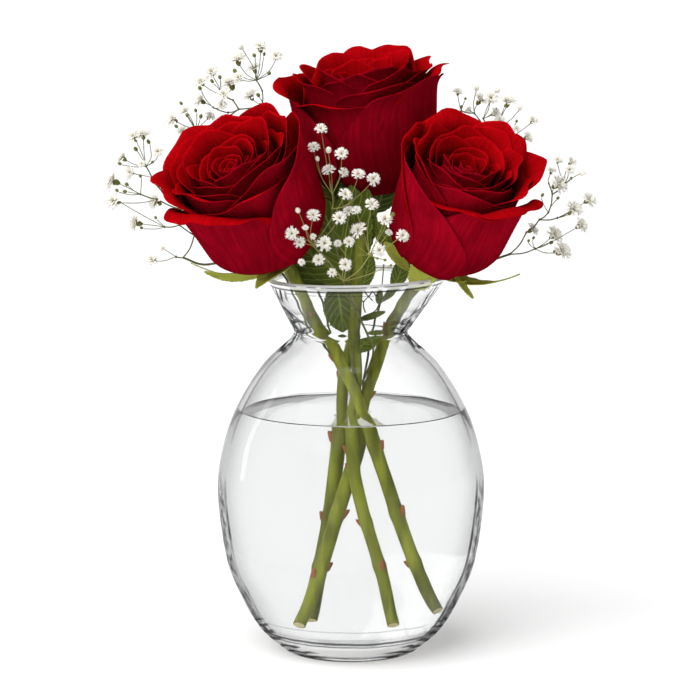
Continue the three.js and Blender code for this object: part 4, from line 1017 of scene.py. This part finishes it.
# a floret's cup and a closed bud, as outlines from the foot to the tip
CUP = [(0, -2.3), (0.45, -2.2), (0.85, -1.6), (1.05, -0.8), (1.15, 0.0), (0.7, 0.25), (0, 0.3)]
POD = [(0, -1.5), (0.5, -1.35), (0.95, -0.7), (1.1, 0.1), (0.9, 0.9), (0.45, 1.45), (0, 1.6)]
POD_RADIUS = 1.35                # a bud's radius is taken midway between its width and its length
WHITE_BUD = 1.5                  # buds with a larger radius show their white petals
WIRY, PALE, GREEN, EYE, WHITE = 0.0, 0.2, 0.4, 0.65, 1.0  # kinds of surface on a spray
STEM_RINGS, BRANCH_RINGS, TWIG_RINGS, STALK_RINGS = 150, 14, 20, 12
SPRAYS = {
    # depth: y in the middle, its change with distance from the middle, and its spread;
    # facing: the way its florets look; lift: how many degrees further shut they are
    "left_high": {
        "depth": (28, 0, 9), "facing": (-0.2, -0.9, 0.6), "lift": 10, "stalk": WIRY,
        "stem": [(-4.5, 14, 118), (-4.5, 14, 135), (-5, 14.5, 150), (-9, 18, 164), (-13, 22.8, 176),
                 (-18, 24, 196), (-30, 27, 225), (-42, 29, 255), (-48, 29, 284)],
        # x, y, z and, after the first, the joint that each grows from
        "joints": [(-49, 28, 300), (-49, 30, 307, 0), (-52, 27, 313, 1), (-62, 28, 297, 0),
                   (-65, 27, 302, 3), (-71, 29, 305, 4), (-68, 30, 295, 3), (-76, 27, 298, 6),
                   (-86, 28, 286, 3)],
        # x, z and radius
        "florets": [(-50, 332, 3.5), (-63, 325, 3.8), (-41, 327, 3), (-54, 320, 3), (-77, 318, 3.5),
                    (-83, 313, 3.2), (-67, 312, 4.3), (-70, 306, 2.7), (-56, 305, 3.2),
                    (-84, 302, 3.2), (-71, 300, 2.4), (-78, 293, 2.4), (-92, 297, 2.7),
                    (-99, 292, 3.5), (-94, 285, 2.4), (-62, 315, 3)],
        "buds": [(-61, 331, 1.9), (-64, 318, 1.4), (-72, 315, 1.3), (-77, 312, 1.2), (-83, 309, 1.4),
                 (-83, 293, 1.3), (-86, 296, 1.1), (-53, 327, 1.3), (-48, 327, 1), (-45, 317, 1.3),
                 (-51, 305, 1.3), (-97, 287, 1.2), (-90, 294, 1.1), (-94, 300, 1.1)],
    },
    "left_low": {
        "depth": (6, 0, 8), "facing": (-0.4, -0.9, 0.5), "lift": 10, "stalk": WIRY,
        "stem": [(-5, 11, 124), (-5, 11.3, 140), (-7, 12, 154), (-15, 10.5, 166), (-23.8, 9.2, 176),
                 (-31, 14, 191), (-36.2, 15, 205), (-46.5, 15.5, 213.5), (-60, 14, 216),
                 (-80, 8, 213)],
        "joints": [(-92, 6, 217), (-96, 6, 217.5, 0), (-86, 9, 229, 0), (-94, 6, 235, 2),
                   (-102, 5, 234, 3), (-93, 10, 243, 2), (-106, 7, 249, 5), (-115, 5, 252, 6),
                   (-102, 12, 250, 5), (-109, 8, 261, 8), (-112, 8, 267, 9), (-103, 12, 263, 8)],
        "florets": [(-119, 284, 3.5), (-114, 285, 3.2), (-105, 276, 2.4), (-126, 272, 3),
                    (-121, 264, 3), (-114, 269, 1.9), (-132, 259, 4.3), (-130, 249, 4.1),
                    (-108, 248, 3.8), (-119, 236, 3.8), (-109, 217, 3.2)],
        "buds": [(-118, 276, 1.4), (-126, 269, 1.2), (-115, 262, 1.1), (-109, 259, 1.3),
                 (-122, 258, 1.3), (-124, 253, 1.2), (-128, 254, 1.1), (-126, 248, 1),
                 (-111, 280, 1.3), (-108, 270, 1.1), (-107, 239, 1), (-115, 233, 1),
                 (-103, 223, 1.6)],
    },
    "right_high": {
        "depth": (26, 0, 7), "facing": (0.2, -0.9, 0.6), "lift": 10, "stalk": WIRY,
        "stem": [(6, 13, 120), (6.5, 13.5, 135), (7, 14.5, 148), (10, 18, 162), (13, 22.8, 176),
                 (20, 25, 196), (38, 27, 220), (56, 28, 246), (70, 27, 268)],
        "joints": [(77, 26, 283), (68, 26, 295, 0), (73, 26, 292, 0), (81, 26, 287, 0),
                   (88, 26, 282, 0), (61, 26, 296, 1)],
        "florets": [(59, 307, 2.2), (72, 303, 3.5), (77, 304, 3.2), (87, 302, 3.5), (80, 295, 2.7),
                    (82, 292, 2.4), (101, 291, 2.4), (91, 287, 1.6), (98, 282, 2.7), (65, 297, 1.6)],
        "buds": [(69, 309, 1.7), (81, 307, 1.7), (93, 298, 1.6), (63, 303, 0.9), (61, 298, 1),
                 (91, 291, 1), (80, 297, 0.9), (85, 299, 0.9)],
    },
    "right_low": {
        "depth": (5, 0, 7), "facing": (0.4, -0.9, 0.5), "lift": 10, "stalk": WIRY,
        "stem": [(9, 12, 122), (9.5, 12.5, 138), (12, 13.5, 152), (19, 13, 166), (23.9, 9.4, 176),
                 (30, 13, 190), (36.6, 14, 203), (50, 12.5, 214.5), (70, 6, 214)],
        "joints": [(87, 5, 219), (96, 5, 231, 0), (101, 5, 222, 0), (103, 5, 238, 1),
                   (113, 5, 239, 3), (108, 5, 242, 3), (110, 5, 252, 5), (117, 5, 258, 6),
                   (108, 5, 258, 6)],
        "florets": [(113, 271, 2.2), (121, 270, 2.4), (119, 266, 2.2), (110, 265, 2.2),
                    (114, 258, 4.3), (122, 245, 4.1), (131, 249, 3.5), (126, 236, 3.5),
                    (100, 233, 3), (112, 230, 3.8), (116, 222, 4.3)],
        "buds": [(127, 263, 1.8), (120, 261, 1), (113, 250, 1.1), (105, 251, 1.1), (119, 242, 1.2),
                 (110, 225, 1.3), (100, 228, 1), (97, 227, 1), (112, 220, 1)],
    },
    "centre_high": {
        "depth": (-31, 0, 3), "facing": (0, -1, 0.3), "lift": 0, "stalk": PALE,
        "stem": [(6.5, -1.5, 122), (5.8, -3, 136), (3.5, -6.2, 150), (1.5, -7.5, 160), (2, -9, 174),
                 (4, -14, 190), (-2, -20, 207), (-9, -25, 230)],
        "joints": [(-10, -27, 247), (-10, -29, 255, 0), (-1, -29, 250, 0)],
        "florets": [(-16, 290, 3.7), (-20, 280, 3.7), (-5, 277, 3.9), (-12, 268, 4), (-4, 267, 3),
                    (4, 266, 4), (12, 263, 4.2)],
        "buds": [(-12, 279, 2), (-18, 274, 1.6)],
    },
    "centre_low": {
        "depth": (-42, -0.6, 3), "facing": (0, -1, 0.35), "lift": 0, "stalk": PALE,
        "stem": [(1.5, 4.5, 124), (3, 3.8, 140), (9, 0, 155), (12, -12, 166), (10, -23.9, 176),
                 (4, -29, 190), (-2, -33, 202)],
        "joints": [(-4, -36, 209), (-12, -39, 220, 0), (-20, -45, 229, 1), (-3, -40, 224, 0),
                   (10, -44, 224, 0)],
        "florets": [(-3, 256, 4.2), (11, 251, 4.3), (-6, 244, 4.1), (-1, 247, 3.8), (3, 248, 2.7),
                    (18, 244, 4.3), (4, 237, 5.1), (27, 236, 3.9), (-20, 246, 4.1), (-31, 237, 4.1),
                    (-24, 240, 1.9), (-27, 232, 3.2), (-20, 235, 1.9), (-14, 231, 4.5),
                    (-7, 230, 2.5), (-1, 231, 3.5), (15, 227, 3.8), (20, 237, 2.2), (-26, 222, 2.2),
                    (-17, 222, 3.8), (-3, 219, 4.1), (-10, 215, 2.7)],
        "buds": [(-28, 249, 1.8), (22, 247, 1.5), (4, 229, 1), (5, 224, 1.1), (14, 223, 0.9),
                 (18, 222, 1), (21, 220, 0.9)],
    },
    "rear": {
        "depth": (82, -0.35, 7), "facing": (0, 0.6, 0.6), "lift": 15, "stalk": WIRY,
        "stem": [(1, 13, 118), (1, 13, 130), (1, 14, 145), (1, 20, 160), (1, 26.1, 176),
                 (2, 33, 196), (2, 48, 218), (4, 62, 240)],
        "joints": [(5, 68, 254), (-10, 70, 266, 0), (20, 70, 268, 0), (6, 74, 280, 0)],
        "florets": [(-28, 276, 3.6), (-20, 290, 3.2), (-8, 284, 4), (2, 300, 3.7), (12, 292, 3.9),
                    (24, 288, 3.2), (34, 280, 3.8), (30, 264, 3.6), (-16, 260, 4), (6, 270, 3.6)],
        "buds": [(-2, 292, 1.8), (20, 300, 1.4), (-14, 274, 1.2), (28, 274, 1.2), (-24, 266, 1.5)],
    },
}
# twigs of baby's breath caught in the flare of the vase, beside the stems
TWIGS = [
    [(2, 4, 180), (7, 4, 184), (13, 5, 187), (15.5, 5, 191), (15, 5, 194), (12.5, 4, 199)],
    [(15.5, 5, 191), (19, 5, 193)], [(7, 3, 200), (10, 3, 196), (12, 3, 193)],
    [(12, 3, 200), (7, 3, 192), (8, 3, 186.5)], [(5, 4, 195), (7, 3, 192)],
    [(17, 3, 202), (18, 2, 214)],
]


def turned_to(points, facing, place):
    """Points made about +Z, turned to face along a direction and moved to a place."""
    z = unit(np.asarray(facing, dtype=float))
    x = unit(np.cross(z, (0.31, 0.17, 0.93) if abs(z[2]) < 0.9 else (0.3, 0.9, 0.1)))
    return points @ np.stack([x, np.cross(z, x), z]) + place


def small_lathe(outline, facing, place, kind):
    """A cup, an eye or a bud with eight sides, facing along a direction."""
    vertices, faces = lathe(outline, 8)
    marks = np.tile([0.5, 0.5, kind], (len(vertices), 1))
    return turned_to(vertices, facing, place), faces, marks


def floret_petal(reach, rise, turn, size):
    """One narrow petal as a grid of points: it rises from the cup, arches out, is widest near
    its tip, and the tip is notched."""
    s = np.linspace(0, 1, 5)[:, None]
    side = np.linspace(-1, 1, 3)[None, :]
    lift = math.radians(rise)
    out = 0.35 + reach * s * (1 - 0.25 * s * math.sin(lift)) * np.cos(lift * (1 - 0.4 * s))
    out = out - 0.17 * reach * (1 - np.abs(side)) * (s > 0.95)
    up = 0.2 + reach * math.sin(lift) * s * (1.1 - 0.45 * s) + 0.25 * np.sin(math.pi * s)
    half = FLORET_WIDTH / 2 * (0.3 + 0.9 * s ** 1.2 - 0.25 * s ** 4)
    up = up + 0.22 * side ** 2
    wide = side * half
    x = out * math.cos(turn) - wide * math.sin(turn)
    y = out * math.sin(turn) + wide * math.cos(turn)
    return np.stack([x, y, up + 0 * wide], axis=2) * size


def floret(place, facing, size, lift, seed):
    """Rings of narrow petals round an olive eye, in a green cup."""
    draw = np.random.default_rng(seed)
    for count, reach, rise, turn in FLORET_RINGS:
        for k in range(count):
            angle = turn + 2 * math.pi * (k + draw.uniform(-0.22, 0.22)) / count
            steep = rise + lift + draw.uniform(-9, 9)
            sheet = floret_petal(reach * draw.uniform(0.85, 1.05), steep, angle, size)
            yield of_kind(shell(turned_to(sheet, facing, place), FLORET_THICK), WHITE)
    yield small_lathe(np.array(CUP) * size, facing, place, GREEN)
    yield small_lathe(np.array(EYE_OUTLINE) * size, facing, place, EYE)


def spray_material():
    """Chalk-white petals that let a little light through, creamy at their roots, over olive
    eyes and cups, on wiry olive-brown stalks, or on pale ones among the blooms."""
    add, finish = new_material("babys_breath")
    down, _, kind, place = marks_of(add)
    twig = blend(add, noise(add, place, 240.0, 2.0), TWIG_DARK, TWIG_LIGHT)
    colour = by_kind(add, kind, twig, [
        (0.05, 0.15, STALK_PALE), (0.25, 0.35, CUP_GREEN), (0.48, 0.60, EYE_GREEN),
        (0.80, 0.95, blend(add, down, CHALK_ROOT, CHALK_TIP))])
    skin = add("BsdfPrincipled", {"Base Color": colour, "Roughness": 0.7,
                                  "Specular IOR Level": 0.15})
    lit_through = add("BsdfTranslucent", {"Color": colour})
    thin = product(add, spread(add, kind, 0.80, 0.95), 0.22)
    return finish(add("MixShader", {0: thin, 1: skin, 2: lit_through}))


def wire(points, radius, count, kind, sides=6):
    """A thin stalk along a smooth curve through a few points."""
    line = even(spline(points, 12 * len(points)), count)
    way = line[-1] - line[0]
    across = np.eye(3)[np.argmin(np.abs(way))]
    return tube(line, radius, sides, kind, across)


def make_spray(spray):
    """The parts of one spray: its stem, a knot at each joint, its branches, and a stalk with a
    floret or a bud for each given place. A stalk grows from the nearest joint below its tip."""
    y_middle, y_out, y_spread = spray["depth"]
    joints = np.array([joint[:3] for joint in spray["joints"]], dtype=float)
    stalk, outer = spray["stalk"], spray["lift"] > 0
    full_size = OUTER_RADIUS if outer else CENTRE_RADIUS
    parts = [wire([*spray["stem"], joints[0]], WIRE[0], STEM_RINGS, WIRY)]
    for i, joint in enumerate(spray["joints"]):
        parts.append(small_lathe(np.array(POD) * 0.5, (0, 0, 1), joints[i], stalk))
        if i:
            start, end = joints[joint[3]], joints[i]
            bow = (start + end) / 2 + np.array([0.05, 0.02, -0.06]) * np.linalg.norm(end - start)
            parts.append(wire([start, bow, end], WIRE[1], BRANCH_RINGS, stalk))
    tips = [(*tip, True) for tip in spray["florets"]] + [(*tip, False) for tip in spray["buds"]]
    for i, (x, z, size, opened) in enumerate(tips):
        y = y_middle + y_out * abs(x) + y_spread * math.sin(i * 2.4)
        middle = np.array([x, y, z])
        far = (np.linalg.norm(joints - middle, axis=1) + 3 * np.maximum(0, joints[:, 2] - z + 2))
        joint = joints[np.argmin(far)]
        reach = middle - joint
        sway = np.array([0.5 * math.sin(i * 1.9), 0, 0.5 * math.sin(i * 2.7)])
        facing = unit(1.6 * unit(np.array(spray["facing"])) + unit(reach) + sway)
        place = middle - facing * size * (0.5 if outer else 0.1)
        foot = place - facing * (0.5 * size if opened else 1.2)
        bow = (joint * 0.45 + foot * 0.55) - facing * 0.12 * np.linalg.norm(reach)
        bow[0] += 0.06 * math.sin(i * 3.7) * np.linalg.norm(reach)
        parts.append(wire([joint, bow, foot], WIRE[2], STALK_RINGS, stalk, 5))
        if opened:
            parts.extend(floret(place, facing, size / full_size, spray["lift"], i))
        else:
            parts.append(small_lathe(np.array(POD) * size / POD_RADIUS, facing, middle,
                                     WHITE if size > WHITE_BUD else GREEN))
    return parts


chalk_white = spray_material()
for place, spray in SPRAYS.items():
    parts = make_spray(spray)
    if place == "centre_low":
        parts += [wire(twig, WIRE[1], TWIG_RINGS, WIRY) for twig in TWIGS]
    cloud = marked_object(f"babys_breath_{place}", parts, chalk_white)
    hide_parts(f"spray_{place}")
    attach(cloud, "root")


(low, high), (cad_low, cad_high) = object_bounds(), cad_box
sizes = {"cad": [list(cad_low), list(cad_high)], "visual": [list(low), list(high)]}
